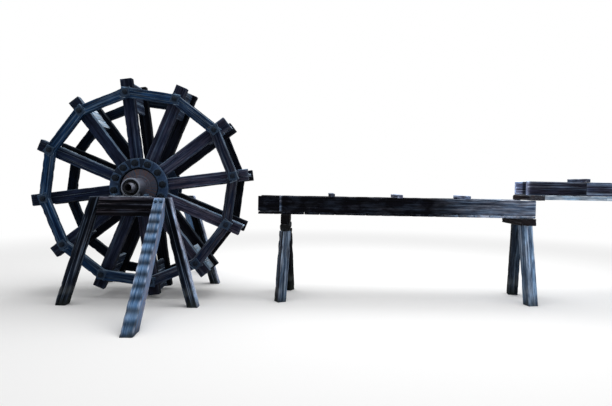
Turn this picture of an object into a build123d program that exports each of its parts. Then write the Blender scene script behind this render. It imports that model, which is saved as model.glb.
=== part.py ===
"""Timber watermill: a twelve-spoke wheel on a braced stand, fed by two raised flumes.

X runs along the flume away from the wheel, Y along the axle away from the viewer, Z up.
The pieces are drawn with the axle crossing x = y = 0 and moved at the end, so that the
origin is the middle of the underside. All sizes are in millimetres.
"""
from build123d import *
import os
from math import atan2, cos, degrees, hypot, radians, sin, tan

os.makedirs("parts", exist_ok=True)

# Fits
SEAT_GAP = 0.3            # between timbers and plates that seat on each other
MOUTH_TO_WHEEL = 116      # from the spoke tips to the mouth of the flume
TIP_TO_GROUND = 30        # under the lowest spoke tip

# Wheel: two rims of lapped bars, outside two stars of spokes, with paddles between
SPOKES = 12
FIRST_SPOKE = 7.9         # angle of the first spoke above +X, degrees
TIP_RADIUS = 1400         # axle to the end of a spoke
SPOKE_WIDTH = 150
SPOKE_THICK = 100
SPOKE_ROOT = 246          # axle to the mitred root of a spoke
RIM_RADIUS = 1213         # axle to the crossing of two rim bars
RIM_DEPTH = 128           # rim bar seen from the front
RIM_THICK = 75
RIM_OVERRUN = 64          # square end of a rim bar past the crossing
PADDLE_LENGTH = 515       # paddle between the two stars of spokes
PADDLE_THICK = 40
PADDLE_INNER = 1000
PADDLE_OUTER = 1385
RIM_WASHER = 104          # square washers at the crossings
RIM_NUT = 56              # across the flats

# Hub and axle
AXLE_RADIUS = 60
AXLE_WALL = 18
AXLE_LENGTH = 1620
DRUM_RADIUS = 232
DRUM_WALL = 20
FLANGE_RADIUS = 375       # clamp rings, and the corners of the plates behind the spokes
FLANGE_THICK = 20
RING_THICK = 40
RING_INNER = 248
DISC_THICK = 18
BOSS_RADIUS = 118
BOSS_LENGTH = 80
COLLAR_RADIUS = 150       # step between the disc and its boss
COLLAR_LENGTH = 22
HUB_BOLT_CIRCLE = 312
HUB_WASHER = 112
HUB_NUT = 80              # across the flats
WASHER_THICK = 10
NUT_HIGH = 0.5            # height of a nut as a part of its width
JOURNAL_RADIUS = 57       # turned-down free ends of the axle
JOURNAL_LENGTH = 60

# Bearings
HOUSING_RADIUS = 116
HOUSING_WALL = 16
HOUSING_LENGTH = 255
HOUSING_TO_BOSS = 10      # running gap at the wheel side
BUSH_SETBACK = 58         # bush inside the outer mouth of the housing
AXLE_CLEARANCE = 0.5      # radial, around the axle
PLATE_LENGTH = 480
PLATE_WIDTH = 146
PLATE_THICK = 12
PEDESTAL_LENGTH = 180
PLATE_BOLT_X = 190
PLATE_BOLT_Y = 44
PLATE_NUT = 40

# Stand
BEAM_TO_RIM = 200         # clear space between the rim and the beam
BEAM_WIDTH = 150
BEAM_UPPER = 78           # heights of the three stacked timbers
BEAM_MIDDLE = 66
BEAM_LOWER = 86
BEAM_LOWER_SETBACK = 28   # lowest timber behind the faces of the others
LEG_TOP_X = 420           # leg centre line at the top of the beam
LEG_FOOT_X = 795
LEG_WIDTH = 135
LEG_DEPTH = 130
LEG_SETBACK = 18          # leg behind the face of the beam, at the top
LEG_SPLAY = 100           # foot of the leg outward along the axle
BRACE_TOP_X = 372
BRACE_FOOT_X = 433
BRACE_REACH = 1368        # face of the beam to the upper edge of the foot
BRACE_OVERLONG = 1.2      # drawn this much longer, then cut level with the ground
BRACE_WIDTH = 134
BRACE_THICK = 175
SCALLOPS = 11
SCALLOP_START = 1.5       # top edge to the first scallop, in pitches
SCALLOP_RADIUS = 130
SCALLOP_DEPTH = 8
BRACE_BOLT_SPACING = 62
BRACE_NUT = 34
BRACE_BOLT_DOWN = 70      # along the brace from its top edge

# Lower flume
TROUGH_DROP = 80          # axle down to the top of the trough
TROUGH_LENGTH = 3614
TROUGH_WIDTH = 560
TROUGH_SIDE = 205
TROUGH_BOARD = 50
TROUGH_FLOOR = 30
MOUTH_LENGTH = 280
TIE_WIDTH = 65
TIE_HIGH = 45
TIE_OVERHANG = 30
TIE_START = 966           # mouth to the first tie
TIE_PITCH = 880
TIES = 3

# Upper flume, one whole bay long
FEEDER_START = 94         # overlap on the end of the lower flume
FEEDER_WIDTH = 440
FEEDER_SIDE = 181
FEEDER_BOARD = 60
FEEDER_FLOOR = 60
FEEDER_SPLICE = 774       # left end to the splice of the side boards
BEARER_WIDTH = 210        # cross timber under the left end
BEARER_HIGH = 70

# Trestles
FIRST_TRESTLE = 358       # mouth to the first trestle
TRESTLE_TO_END = 114      # second trestle to the end of the lower flume, and so on
HEAD_WIDTH = 118          # upper head timber of the first trestle
HEAD_HIGH = 122
RAIL_WIDTH = 138          # rounded rail between that head and its posts
RAIL_HIGH = 96
RAIL_ROUND = 28
CAP_WIDTH = 200           # head timber of the others
CAP_HIGH = 91
HEAD_LENGTH = 680
MOUTH_POST_SIDE = 120     # square posts of the first trestle
MOUTH_POST_TURN = 28      # turned about the vertical, degrees
MOUTH_POST_TOP_Y = 245
MOUTH_POST_FOOT_Y = 400
MOUTH_POST_LEAN = 45      # the front foot stands this far back, the back foot this far on
CAP_POST_SIDE = 135       # square posts of the others
CAP_POST_TURN = 12
CAP_POST_TOP_Y = 190
CAP_POST_FOOT_Y = 365
CAP_POST_SHIFT = 35       # tops of the posts on from the middle of the cap
CAP_POST_STAGGER = 20     # the front post stands this far back, the back post this far on
CAP_POST_SWAY = 30        # both feet on from their tops

# Levels and planes worked out from the sizes
AXLE_Z = TIP_RADIUS + TIP_TO_GROUND
SPOKE_IN = PADDLE_LENGTH / 2 + SEAT_GAP
SPOKE_OUT = SPOKE_IN + SPOKE_THICK
RIM_IN = SPOKE_OUT + SEAT_GAP
RIM_OUT = RIM_IN + RIM_THICK
STEP = 360 / SPOKES
BEAM_IN = RIM_OUT + BEAM_TO_RIM
BEAM_OUT = BEAM_IN + BEAM_WIDTH
BEAM_TOP = AXLE_Z - HOUSING_RADIUS - SEAT_GAP
UPPER_SEAM = BEAM_TOP - BEAM_UPPER
LOWER_SEAM = UPPER_SEAM - SEAT_GAP - BEAM_MIDDLE
BEAM_BOTTOM = LOWER_SEAM - SEAT_GAP - BEAM_LOWER
DISC_OUT = SPOKE_OUT + DISC_THICK
COLLAR_OUT = DISC_OUT + COLLAR_LENGTH
BOSS_OUT = DISC_OUT + BOSS_LENGTH
HOUSING_IN = BOSS_OUT + HOUSING_TO_BOSS
HOUSING_OUT = HOUSING_IN + HOUSING_LENGTH
TROUGH_START = TIP_RADIUS + MOUTH_TO_WHEEL
TROUGH_END = TROUGH_START + TROUGH_LENGTH
TROUGH_TOP = AXLE_Z - TROUGH_DROP
TROUGH_BED = TROUGH_TOP - TROUGH_SIDE - SEAT_GAP
TROUGH_BOTTOM = TROUGH_BED - TROUGH_FLOOR
TRESTLE_X = TROUGH_START + FIRST_TRESTLE
BAY = TROUGH_LENGTH - FIRST_TRESTLE - TRESTLE_TO_END
FEEDER_LEFT = TROUGH_END - FEEDER_START
FEEDER_BED = TROUGH_TOP + SEAT_GAP + BEARER_HIGH
FEEDER_TOP = FEEDER_BED + SEAT_GAP + FEEDER_SIDE
FEEDER_RIGHT = TROUGH_END + BAY
FEEDER_BOTTOM = FEEDER_BED - FEEDER_FLOOR


def block(x_range, y_range, z_range):
    """A squared timber between two limits on each axis."""
    size = [high - low for low, high in (x_range, y_range, z_range)]
    middle = [(high + low) / 2 for low, high in (x_range, y_range, z_range)]
    return Pos(*middle) * Box(*size)


def slanted(top, foot, width, depth, turn=0):
    """A leg with level ends: a rectangle lofted from its top centre down to its foot."""
    section = Rot(0, 0, turn) * Rectangle(width, depth)
    return loft([Pos(*foot) * section, Pos(*top) * section], ruled=True)


def turned(profile):
    """Revolve a closed outline of (radius, distance along the axle) about the axle."""
    face = make_face(Plane.XY * Polyline(*profile, close=True))
    return Pos(0, 0, AXLE_Z) * revolve(face, Axis.Y)


def ring(outer, inner, start, end):
    """A turned ring or tube about the axle."""
    return turned([(inner, start), (outer, start), (outer, end), (inner, end)])


def mirrored(shape):
    """The same piece on the far side of the wheel."""
    return mirror(shape, about=Plane.XZ)


def around(shape, angles):
    """Copies of a piece drawn along +X at the axle, turned to each angle about it."""
    return [Pos(0, 0, AXLE_Z) * Rot(0, -angle, 0) * shape for angle in angles]


def spoke_angles():
    """The angle of every spoke above +X."""
    return [FIRST_SPOKE + STEP * number for number in range(SPOKES)]


# Wheel


def spoke():
    """One spoke along +X on the viewer's side, its root mitred to its neighbours."""
    half = SPOKE_WIDTH / 2
    root_half = SPOKE_ROOT * tan(radians(STEP / 2)) - SEAT_GAP
    shoulder = (half + SEAT_GAP) / tan(radians(STEP / 2))
    outline = Polyline(
        (SPOKE_ROOT, -root_half),
        (shoulder, -half),
        (TIP_RADIUS, -half),
        (TIP_RADIUS, half),
        (shoulder, half),
        (SPOKE_ROOT, root_half),
        close=True,
    )
    return extrude(Plane.XZ.offset(SPOKE_IN) * make_face(outline), SPOKE_THICK)


def rim_bar_outline(growth=0.0):
    """A rim bar across the middle of a bay, seen from the front, with square ends."""
    apothem = RIM_RADIUS * cos(radians(STEP / 2))
    half_length = RIM_RADIUS * sin(radians(STEP / 2)) + RIM_OVERRUN
    return Pos(apothem, 0) * Rectangle(RIM_DEPTH + growth, 2 * half_length + growth)


def rim_bar(kept_outside):
    """A rim bar halved at both ends to lap its neighbours.

    kept_outside: True keeps the outer half of the thickness at the laps.
    """
    bar = extrude(Plane.XZ.offset(RIM_IN) * rim_bar_outline(), RIM_THICK)
    cut_from = RIM_IN - SEAT_GAP if kept_outside else RIM_IN + RIM_THICK / 2 - SEAT_GAP / 2
    cut_depth = RIM_THICK / 2 + SEAT_GAP * 1.5
    lap = extrude(Plane.XZ.offset(cut_from) * rim_bar_outline(2 * SEAT_GAP), cut_depth)
    return bar - Rot(0, STEP, 0) * lap - Rot(0, -STEP, 0) * lap


def rim():
    """One rim: bars that keep the outer half at the laps alternate with those that do not."""
    outer = [angle + STEP / 2 for angle in spoke_angles()[::2]]
    inner = [angle + STEP / 2 for angle in spoke_angles()[1::2]]
    return around(rim_bar(True), outer) + around(rim_bar(False), inner)


def paddle():
    """One radial paddle board along +X."""
    return block(
        (PADDLE_INNER, PADDLE_OUTER),
        (-PADDLE_LENGTH / 2, PADDLE_LENGTH / 2),
        (-PADDLE_THICK / 2, PADDLE_THICK / 2),
    )


def nut_on_washer(radius, face, washer, nut):
    """A square washer with its hexagon nut, radius from the axle, on a face of the wheel."""
    place = Pos(radius, 0)
    plate = extrude(Plane.XZ.offset(face) * place * Rectangle(washer, washer), WASHER_THICK)
    outline = RegularPolygon(nut / 2, 6, major_radius=False)
    head = extrude(Plane.XZ.offset(face + WASHER_THICK) * place * outline, nut * NUT_HIGH)
    return plate + head


def rim_bolt():
    """The washer and nut at the crossing of two rim bars."""
    return nut_on_washer(RIM_RADIUS, RIM_OUT + SEAT_GAP, RIM_WASHER, RIM_NUT)


# Hub


def hub_drum():
    """The drum that carries the two stars of spokes."""
    end = SPOKE_OUT - SEAT_GAP
    return ring(DRUM_RADIUS, DRUM_RADIUS - DRUM_WALL, -end, end)


def hub_plate():
    """The plate on the drum that backs the roots of the spokes, with a corner at each."""
    plane = Plane.XZ.offset(SPOKE_IN - SEAT_GAP - FLANGE_THICK)
    outline = RegularPolygon(FLANGE_RADIUS, SPOKES) - Circle(DRUM_RADIUS + SEAT_GAP)
    return extrude(plane * outline, FLANGE_THICK)


def hub_disc():
    """The end disc of the drum with the stepped boss that runs out towards the bearing."""
    bore = AXLE_RADIUS + SEAT_GAP
    return turned([
        (bore, -SPOKE_OUT),
        (DRUM_RADIUS, -SPOKE_OUT),
        (DRUM_RADIUS, -DISC_OUT),
        (COLLAR_RADIUS, -DISC_OUT),
        (COLLAR_RADIUS, -COLLAR_OUT),
        (BOSS_RADIUS, -COLLAR_OUT),
        (BOSS_RADIUS, -BOSS_OUT),
        (bore, -BOSS_OUT),
    ])


def hub_ring():
    """The clamp ring over the roots of the spokes."""
    face = SPOKE_OUT + SEAT_GAP
    return ring(FLANGE_RADIUS, RING_INNER, -face - RING_THICK, -face)


def hub_bolt():
    """The square plate with its nut on the clamp ring, over the middle of a spoke."""
    face = SPOKE_OUT + RING_THICK + 2 * SEAT_GAP
    return nut_on_washer(HUB_BOLT_CIRCLE, face, HUB_WASHER, HUB_NUT)


def axle():
    """The hollow axle with a turned-down journal at each free end."""
    half = AXLE_LENGTH / 2
    bore = AXLE_RADIUS - AXLE_WALL
    shoulder = half - JOURNAL_LENGTH
    return turned([
        (bore, -half),
        (JOURNAL_RADIUS, -half),
        (JOURNAL_RADIUS, -shoulder),
        (AXLE_RADIUS, -shoulder),
        (AXLE_RADIUS, shoulder),
        (JOURNAL_RADIUS, shoulder),
        (JOURNAL_RADIUS, half),
        (bore, half),
    ])


# Bearings


def bearing_housing():
    """The barrel with its bush inside, one casting with its pedestal and base plate."""
    barrel_bore = HOUSING_RADIUS - HOUSING_WALL
    bush_bore = AXLE_RADIUS + AXLE_CLEARANCE
    bush_out = -HOUSING_OUT + BUSH_SETBACK
    barrel = turned([
        (barrel_bore, -HOUSING_OUT),
        (HOUSING_RADIUS, -HOUSING_OUT),
        (HOUSING_RADIUS, -HOUSING_IN),
        (bush_bore, -HOUSING_IN),
        (bush_bore, bush_out),
        (barrel_bore, bush_out),
    ])
    middle = -(BEAM_IN + BEAM_OUT) / 2
    plate_z = (BEAM_TOP + SEAT_GAP, BEAM_TOP + PLATE_THICK)
    half_plate = PLATE_LENGTH / 2
    plate_y = (middle - PLATE_WIDTH / 2, middle + PLATE_WIDTH / 2)
    plate = block((-half_plate, half_plate), plate_y, plate_z)
    pedestal = block(
        (-PEDESTAL_LENGTH / 2, PEDESTAL_LENGTH / 2),
        (-HOUSING_OUT, plate_y[1]),
        (plate_z[0], AXLE_Z),
    )
    inside = ring(HOUSING_RADIUS - HOUSING_WALL / 2, 0, -HOUSING_OUT, -HOUSING_IN)
    return barrel + (plate + pedestal - inside)


def hexagon_head(width):
    """A hexagon bolt head that stands on the level plane."""
    return extrude(RegularPolygon(width / 2, 6, major_radius=False), width * NUT_HIGH)


def plate_bolts():
    """The four bolt heads that hold one base plate down."""
    middle = -(BEAM_IN + BEAM_OUT) / 2
    top = BEAM_TOP + PLATE_THICK + SEAT_GAP
    head = hexagon_head(PLATE_NUT)
    return [
        Pos(across * PLATE_BOLT_X, middle + along * PLATE_BOLT_Y, top) * head
        for across in (-1, 1)
        for along in (-1, 1)
    ]


# Stand


def leg_x(height):
    """Distance of a leg's centre line from the axle at a height."""
    return LEG_FOOT_X + (LEG_TOP_X - LEG_FOOT_X) * height / BEAM_TOP


def leg(side):
    """One leg of the viewer's side frame, side = -1 left or 1 right."""
    middle = -(BEAM_IN + BEAM_OUT) / 2 + LEG_SETBACK
    top = (side * LEG_TOP_X, middle, BEAM_TOP)
    foot = (side * LEG_FOOT_X, middle - LEG_SPLAY, 0)
    return slanted(top, foot, LEG_WIDTH, LEG_DEPTH)


def beam(low, high, setback=0):
    """One of the stacked beam timbers, its ends cut to lie against the legs."""
    reach = [leg_x(level) - LEG_WIDTH / 2 - SEAT_GAP for level in (low, high)]
    outline = Polyline(
        (-reach[0], low),
        (reach[0], low),
        (reach[1], high),
        (-reach[1], high),
        close=True,
    )
    thick = BEAM_WIDTH - 2 * setback
    return extrude(Plane.XZ.offset(BEAM_IN + setback) * make_face(outline), thick)


def stacked_beam():
    """The three timbers of the beam, the lowest set back from the faces of the others."""
    return [
        beam(UPPER_SEAM, BEAM_TOP),
        beam(LOWER_SEAM, UPPER_SEAM - SEAT_GAP),
        beam(BEAM_BOTTOM, LOWER_SEAM - SEAT_GAP, BEAM_LOWER_SETBACK),
    ]


def brace_slope():
    """Slope of the brace below the level, in degrees, and its height at the beam."""
    slope = atan2(BEAM_TOP, BRACE_REACH)
    return degrees(slope), BRACE_THICK / cos(slope)


def brace():
    """The long brace from the face of the beam to the ground, its top face scalloped."""
    _, high = brace_slope()
    face = BEAM_OUT + SEAT_GAP
    section = Pos(0, -high / 2) * Rectangle(BRACE_WIDTH, high)
    sideways = (BRACE_FOOT_X - BRACE_TOP_X) * BRACE_OVERLONG
    foot = Pos(BRACE_TOP_X + sideways, BEAM_TOP * (1 - BRACE_OVERLONG))
    top_end = Plane.XZ.offset(face) * Pos(BRACE_TOP_X, BEAM_TOP) * section
    foot_end = Plane.XZ.offset(face + BRACE_REACH * BRACE_OVERLONG) * foot * section
    timber = loft([top_end, foot_end], ruled=True)
    return timber - under_ground() - scallops()


def under_ground():
    """Everything below the level that the feet stand on, as far as the brace reaches."""
    reach = 2 * BRACE_REACH
    return block((-reach, reach), (-BEAM_OUT - reach, 0), (-reach, 0))


def scallops():
    """Evenly spaced shallow hollows across the top face of the brace."""
    slope, _ = brace_slope()
    pitch = hypot(BRACE_REACH, BEAM_TOP) / (SCALLOPS + SCALLOP_START)
    turn = Rot(slope, 0, 0)
    top_edge = Pos(BRACE_TOP_X, -BEAM_OUT, BEAM_TOP) * turn
    cutter = Rot(0, 90, 0) * Cylinder(SCALLOP_RADIUS, 4 * BRACE_WIDTH)
    lift = SCALLOP_RADIUS - SCALLOP_DEPTH
    return [
        top_edge * Pos(0, -pitch * (number + SCALLOP_START), lift) * cutter
        for number in range(SCALLOPS)
    ]


def brace_bolts():
    """The two bolt heads near the top of the brace."""
    slope, _ = brace_slope()
    top_edge = Pos(BRACE_TOP_X, -BEAM_OUT, BEAM_TOP) * Rot(slope, 0, 0)
    head = hexagon_head(BRACE_NUT)
    return [
        top_edge * Pos(side * BRACE_BOLT_SPACING / 2, -BRACE_BOLT_DOWN, SEAT_GAP) * head
        for side in (-1, 1)
    ]


# Flumes and trestles


def lower_flume():
    """Floor, side boards, mouth boards and ties of the lower flume, by node name."""
    half = TROUGH_WIDTH / 2
    sides_z = (TROUGH_TOP - TROUGH_SIDE, TROUGH_TOP)
    front_y = (-half, -half + TROUGH_BOARD)
    splice = TROUGH_START + MOUTH_LENGTH
    side = block((splice, TROUGH_END), front_y, sides_z)
    mouth = block((TROUGH_START, splice - SEAT_GAP), front_y, sides_z)
    ties = [flume_tie(TROUGH_START + TIE_START + TIE_PITCH * number, half, TROUGH_TOP)
            for number in range(TIES)]
    return {
        "lower_flume_floor": [block((TROUGH_START, TROUGH_END), (-half, half),
                                    (TROUGH_BOTTOM, TROUGH_BED))],
        "lower_flume_front_boards": [mouth, side],
        "lower_flume_back_boards": [mirrored(mouth), mirrored(side)],
        "lower_flume_ties": ties,
    }


def flume_tie(x, half_width, top):
    """A tie across the top of a flume, its ends standing out past the side boards."""
    reach = half_width + TIE_OVERHANG
    return block(
        (x - TIE_WIDTH / 2, x + TIE_WIDTH / 2),
        (-reach, reach),
        (top + SEAT_GAP, top + SEAT_GAP + TIE_HIGH),
    )


def upper_flume():
    """Bearer, floor, spliced side boards and ties of the upper flume, by node name."""
    half = FEEDER_WIDTH / 2
    sides_z = (FEEDER_BED + SEAT_GAP, FEEDER_TOP)
    front_y = (-half, -half + FEEDER_BOARD)
    splice = FEEDER_LEFT + FEEDER_SPLICE
    short = block((FEEDER_LEFT, splice - SEAT_GAP), front_y, sides_z)
    long = block((splice, FEEDER_RIGHT), front_y, sides_z)
    bearer_right = FEEDER_LEFT + BEARER_WIDTH
    bearer_y = (-TROUGH_WIDTH / 2, TROUGH_WIDTH / 2)
    ties = [flume_tie(splice + TIE_PITCH * number, half, FEEDER_TOP) for number in range(TIES)]
    return {
        "upper_flume_bearer": [block((FEEDER_LEFT, bearer_right), bearer_y,
                                     (TROUGH_TOP + SEAT_GAP, FEEDER_BED))],
        "upper_flume_floor": [block((bearer_right + SEAT_GAP, FEEDER_RIGHT), (-half, half),
                                    (FEEDER_BOTTOM, FEEDER_BED))],
        "upper_flume_front_boards": [short, long],
        "upper_flume_back_boards": [mirrored(short), mirrored(long)],
        "upper_flume_ties": ties,
    }


def mouth_posts(top):
    """The two splayed posts of the first trestle, crossed a little along the flume."""
    return [
        slanted((TRESTLE_X, side * MOUTH_POST_TOP_Y, top),
                (TRESTLE_X + side * MOUTH_POST_LEAN, side * MOUTH_POST_FOOT_Y, 0),
                MOUTH_POST_SIDE, MOUTH_POST_SIDE, -side * MOUTH_POST_TURN)
        for side in (-1, 1)
    ]


def cap_posts(x, top):
    """The two splayed posts under a cap, both leaning on along the flume."""
    solids = []
    for side in (-1, 1):
        top_x = x + CAP_POST_SHIFT + side * CAP_POST_STAGGER
        top_end = (top_x, side * CAP_POST_TOP_Y, top)
        foot_end = (top_x + CAP_POST_SWAY, side * CAP_POST_FOOT_Y, 0)
        turn = -side * CAP_POST_TURN
        solids.append(slanted(top_end, foot_end, CAP_POST_SIDE, CAP_POST_SIDE, turn))
    return solids


def cross_timber(x, width, low, high):
    """A timber across the flume that its posts carry."""
    half = HEAD_LENGTH / 2
    return block((x - width / 2, x + width / 2), (-half, half), (low, high))


def mouth_trestle():
    """The first trestle: a head timber on a rounded rail on two posts."""
    head_top = TROUGH_BOTTOM - SEAT_GAP
    head_low = head_top - HEAD_HIGH
    rail_top = head_low - SEAT_GAP
    rail_low = rail_top - RAIL_HIGH
    rail = cross_timber(TRESTLE_X, RAIL_WIDTH, rail_low, rail_top)
    return {
        "mouth_trestle_head": [cross_timber(TRESTLE_X, HEAD_WIDTH, head_low, head_top)],
        "mouth_trestle_rail": [chamfer(rail.edges().filter_by(Axis.Y), RAIL_ROUND)],
        "mouth_trestle_posts": mouth_posts(rail_low - SEAT_GAP),
    }


def capped_trestle(name, x, top):
    """A trestle with a single low cap on its two posts."""
    cap_top = top - SEAT_GAP
    cap_low = cap_top - CAP_HIGH
    return {
        f"{name}_trestle_cap": [cross_timber(x, CAP_WIDTH, cap_low, cap_top)],
        f"{name}_trestle_posts": cap_posts(x, cap_low - SEAT_GAP),
    }


def stand():
    """Both side frames of the wheel, by node name."""
    nodes = {
        "beam": stacked_beam(),
        "left_leg": [leg(-1)],
        "right_leg": [leg(1)],
        "brace": [brace()],
        "bearing_housing": [bearing_housing()],
        "stand_bolts": plate_bolts() + brace_bolts(),
    }
    return both_sides(nodes)


def both_sides(nodes):
    """Name the pieces for the front, and their mirrored copies for the back."""
    pairs = {}
    for name, solids in nodes.items():
        pairs[f"front_{name}"] = solids
        pairs[f"back_{name}"] = [mirrored(solid) for solid in solids]
    return pairs


def wheel():
    """Everything that turns with the axle, by node name."""
    angles = spoke_angles()
    nodes = both_sides({
        "rim": rim(),
        "spokes": around(spoke(), angles),
        "rim_bolts": around(rim_bolt(), angles),
        "hub_plate": around(hub_plate(), angles[:1]),
        "hub_disc": [hub_disc()],
        "hub_ring": [hub_ring()],
        "hub_bolts": around(hub_bolt(), angles),
    })
    nodes["paddles"] = around(paddle(), angles)
    nodes["hub_drum"] = [hub_drum()]
    nodes["axle"] = [axle()]
    return nodes


def build():
    """All nodes, moved so that the origin is the middle of the underside."""
    nodes = {**wheel(), **stand(), **lower_flume(), **upper_flume()}
    nodes.update(mouth_trestle())
    nodes.update(capped_trestle("middle", TRESTLE_X + BAY, TROUGH_BOTTOM))
    nodes.update(capped_trestle("end", TRESTLE_X + 2 * BAY, FEEDER_BOTTOM))
    box = Compound([solid for solids in nodes.values() for solid in solids]).bounding_box()
    home = Pos(-(box.min.X + box.max.X) / 2, -(box.min.Y + box.max.Y) / 2, -box.min.Z)
    return {name: Compound([home * solid for solid in solids]) for name, solids in nodes.items()}


for node_name, node_shape in build().items():
    export_step(node_shape, f"parts/{node_name}.step")
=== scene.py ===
"""Looks of the timber watermill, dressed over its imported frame."""
import logging
import math
from collections.abc import Callable
from dataclasses import dataclass, fields, replace
from enum import Enum
from typing import ClassVar

import bpy
import numpy as np
from mathutils import Matrix


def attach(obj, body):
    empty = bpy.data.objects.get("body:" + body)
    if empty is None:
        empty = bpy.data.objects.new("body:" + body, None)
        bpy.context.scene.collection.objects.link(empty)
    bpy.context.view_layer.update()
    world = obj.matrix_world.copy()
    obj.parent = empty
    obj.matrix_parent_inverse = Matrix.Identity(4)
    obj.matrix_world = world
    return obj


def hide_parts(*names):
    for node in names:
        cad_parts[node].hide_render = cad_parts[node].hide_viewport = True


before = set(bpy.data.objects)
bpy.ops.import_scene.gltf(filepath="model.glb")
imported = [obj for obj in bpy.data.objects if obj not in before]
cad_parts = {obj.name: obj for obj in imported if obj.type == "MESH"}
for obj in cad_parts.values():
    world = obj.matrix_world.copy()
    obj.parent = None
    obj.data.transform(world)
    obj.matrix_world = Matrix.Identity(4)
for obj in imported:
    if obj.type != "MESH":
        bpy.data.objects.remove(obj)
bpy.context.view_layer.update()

LOG = logging.getLogger("watermill")
Pair = tuple[float, float]
Triple = tuple[float, float, float]
Colour = tuple[int, int, int]
Rule = Callable[[np.ndarray], np.ndarray]
Feed = bpy.types.NodeSocket | float | tuple[float, ...]

AXLE = np.array([-3.46301871, 0.0, 1.430])
UNDER_AXLE = np.array([AXLE[0], 0.0, 0.0])
SPOKES = 12
STEP = 2 * math.pi / SPOKES
FIRST_SPOKE = math.radians(7.9)
SEAT = 0.0003                       # gap between pieces that seat on each other
VALUES = ("wear", "crack", "end", "tone", "warm", "damp", "sky")


class Body(Enum):
    """The bodies that pieces ride on."""

    STAND = "stand_and_flume"
    WHEEL = "wheel"


class Slot(Enum):
    """Material slots of the record."""

    WHEEL_TIMBER = "wheel_timber"
    STAND_TIMBER = "stand_timber"
    FLUME_TIMBER = "flume_timber"
    PALE_TIMBER = "pale_timber"
    RUSTY_STEEL = "rusty_steel"
    DARK_STEEL = "dark_steel"
    BEARING_IRON = "bearing_iron"
    BOLT_STEEL = "bolt_steel"


class Side(Enum):
    """The two sides of the wheel; the value is the sign of Y."""

    FRONT = -1
    BACK = 1

    @property
    def word(self) -> str:
        """The side as the names of pieces and nodes say it."""
        return self.name.lower()

    def span(self, one: float, other: float) -> list[float]:
        """Two distances from the middle plane as values of Y, the lower first."""
        return sorted((self.value * one, self.value * other))

    def outline(self, *corners: Pair) -> list[Pair]:
        """Corners of (radius, distance from the middle plane) as (radius, Y)."""
        return [(radius, self.value * depth) for radius, depth in corners]


def smooth(value: np.ndarray | float, low: float, high: float) -> np.ndarray:
    """Rises smoothly from 0 at low to 1 at high.

    Args:
        value: Numbers to map.
        low: Where the rise starts.
        high: Where it ends.

    Returns:
        3 t^2 - 2 t^3 of the clipped share t of the way from low to high.
    """
    share = np.clip((value - low) / (high - low), 0.0, 1.0)
    return share * share * (3 - 2 * share)


LATTICE = 64


def noise(x: np.ndarray, y: np.ndarray, seed: int, cells: int = LATTICE) -> np.ndarray:
    """Smooth value noise between 0 and 1.

    Random values stand on a square lattice that repeats after 64 cells along x and after
    the given number along y; between them the value is blended with 3 t^2 - 2 t^3.

    Args:
        x: Places along the first axis, in cells.
        y: Places along the second axis, in cells.
        seed: Seed of the lattice.
        cells: Cells along y before the lattice repeats.

    Returns:
        One value for each pair of places.
    """
    table = np.random.default_rng(seed).random((LATTICE, cells))
    x, y = np.broadcast_arrays(x, y)
    column, row = np.floor(x).astype(int), np.floor(y).astype(int)
    right, up = smooth(x - column, 0, 1), smooth(y - row, 0, 1)
    near, far = (table[(column + step) % LATTICE, row % cells] * (1 - up)
                 + table[(column + step) % LATTICE, (row + 1) % cells] * up
                 for step in (0, 1))
    return near * (1 - right) + far * right


@dataclass
class Skin:
    """A closed surface with values at its points."""

    points: np.ndarray
    quads: np.ndarray
    tris: np.ndarray
    values: dict[str, np.ndarray]

    def laid(self, rule: Rule) -> "Skin":
        """Moves every point by a rule and keeps the faces looking outward.

        The faces look outward when the sum of the signed volumes of the tetrahedra from the
        first point to each triangle is positive.

        Args:
            rule: Takes and returns an array of points.

        Returns:
            The moved skin.
        """
        points = rule(self.points)
        triangles = np.vstack([self.quads[:, :3], self.quads[:, [0, 2, 3]], self.tris])
        a, b, c = (points[triangles[:, k]] - points[0] for k in range(3))
        turn = 1 if np.einsum("ij,ij->", a, np.cross(b, c)) > 0 else -1
        return Skin(points, self.quads[:, ::turn], self.tris[:, ::turn], self.values)

    def toned(self, **values: float | np.ndarray) -> "Skin":
        """Sets further values, one number for all points or one for each.

        Args:
            **values: The new values by name.

        Returns:
            The skin with these values.
        """
        count = len(self.points)
        filled = {name: np.broadcast_to(value, count) for name, value in values.items()}
        return Skin(self.points, self.quads, self.tris, {**self.values, **filled})

    def finer(self, factor: float) -> "Skin":
        """The skin with its grain that many times finer."""
        values = {**self.values, "grain": self.values["grain"] * factor}
        return Skin(self.points, self.quads, self.tris, values)


def joined(skins: list[Skin]) -> Skin:
    """Several skins as one.

    Args:
        skins: The skins.

    Returns:
        One skin with all their points, faces and values; a value that a skin lacks is 0.
    """
    starts = np.cumsum([0] + [len(skin.points) for skin in skins[:-1]])
    values = {name: np.concatenate([skin.values.get(name, np.zeros(len(skin.points)))
                                    for skin in skins]) for name in VALUES}
    values["grain"] = np.vstack([skin.values["grain"] for skin in skins])
    return Skin(
        np.vstack([skin.points for skin in skins]),
        np.vstack([skin.quads + start for skin, start in zip(skins, starts)]),
        np.vstack([skin.tris + start for skin, start in zip(skins, starts)]),
        values,
    )


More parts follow.
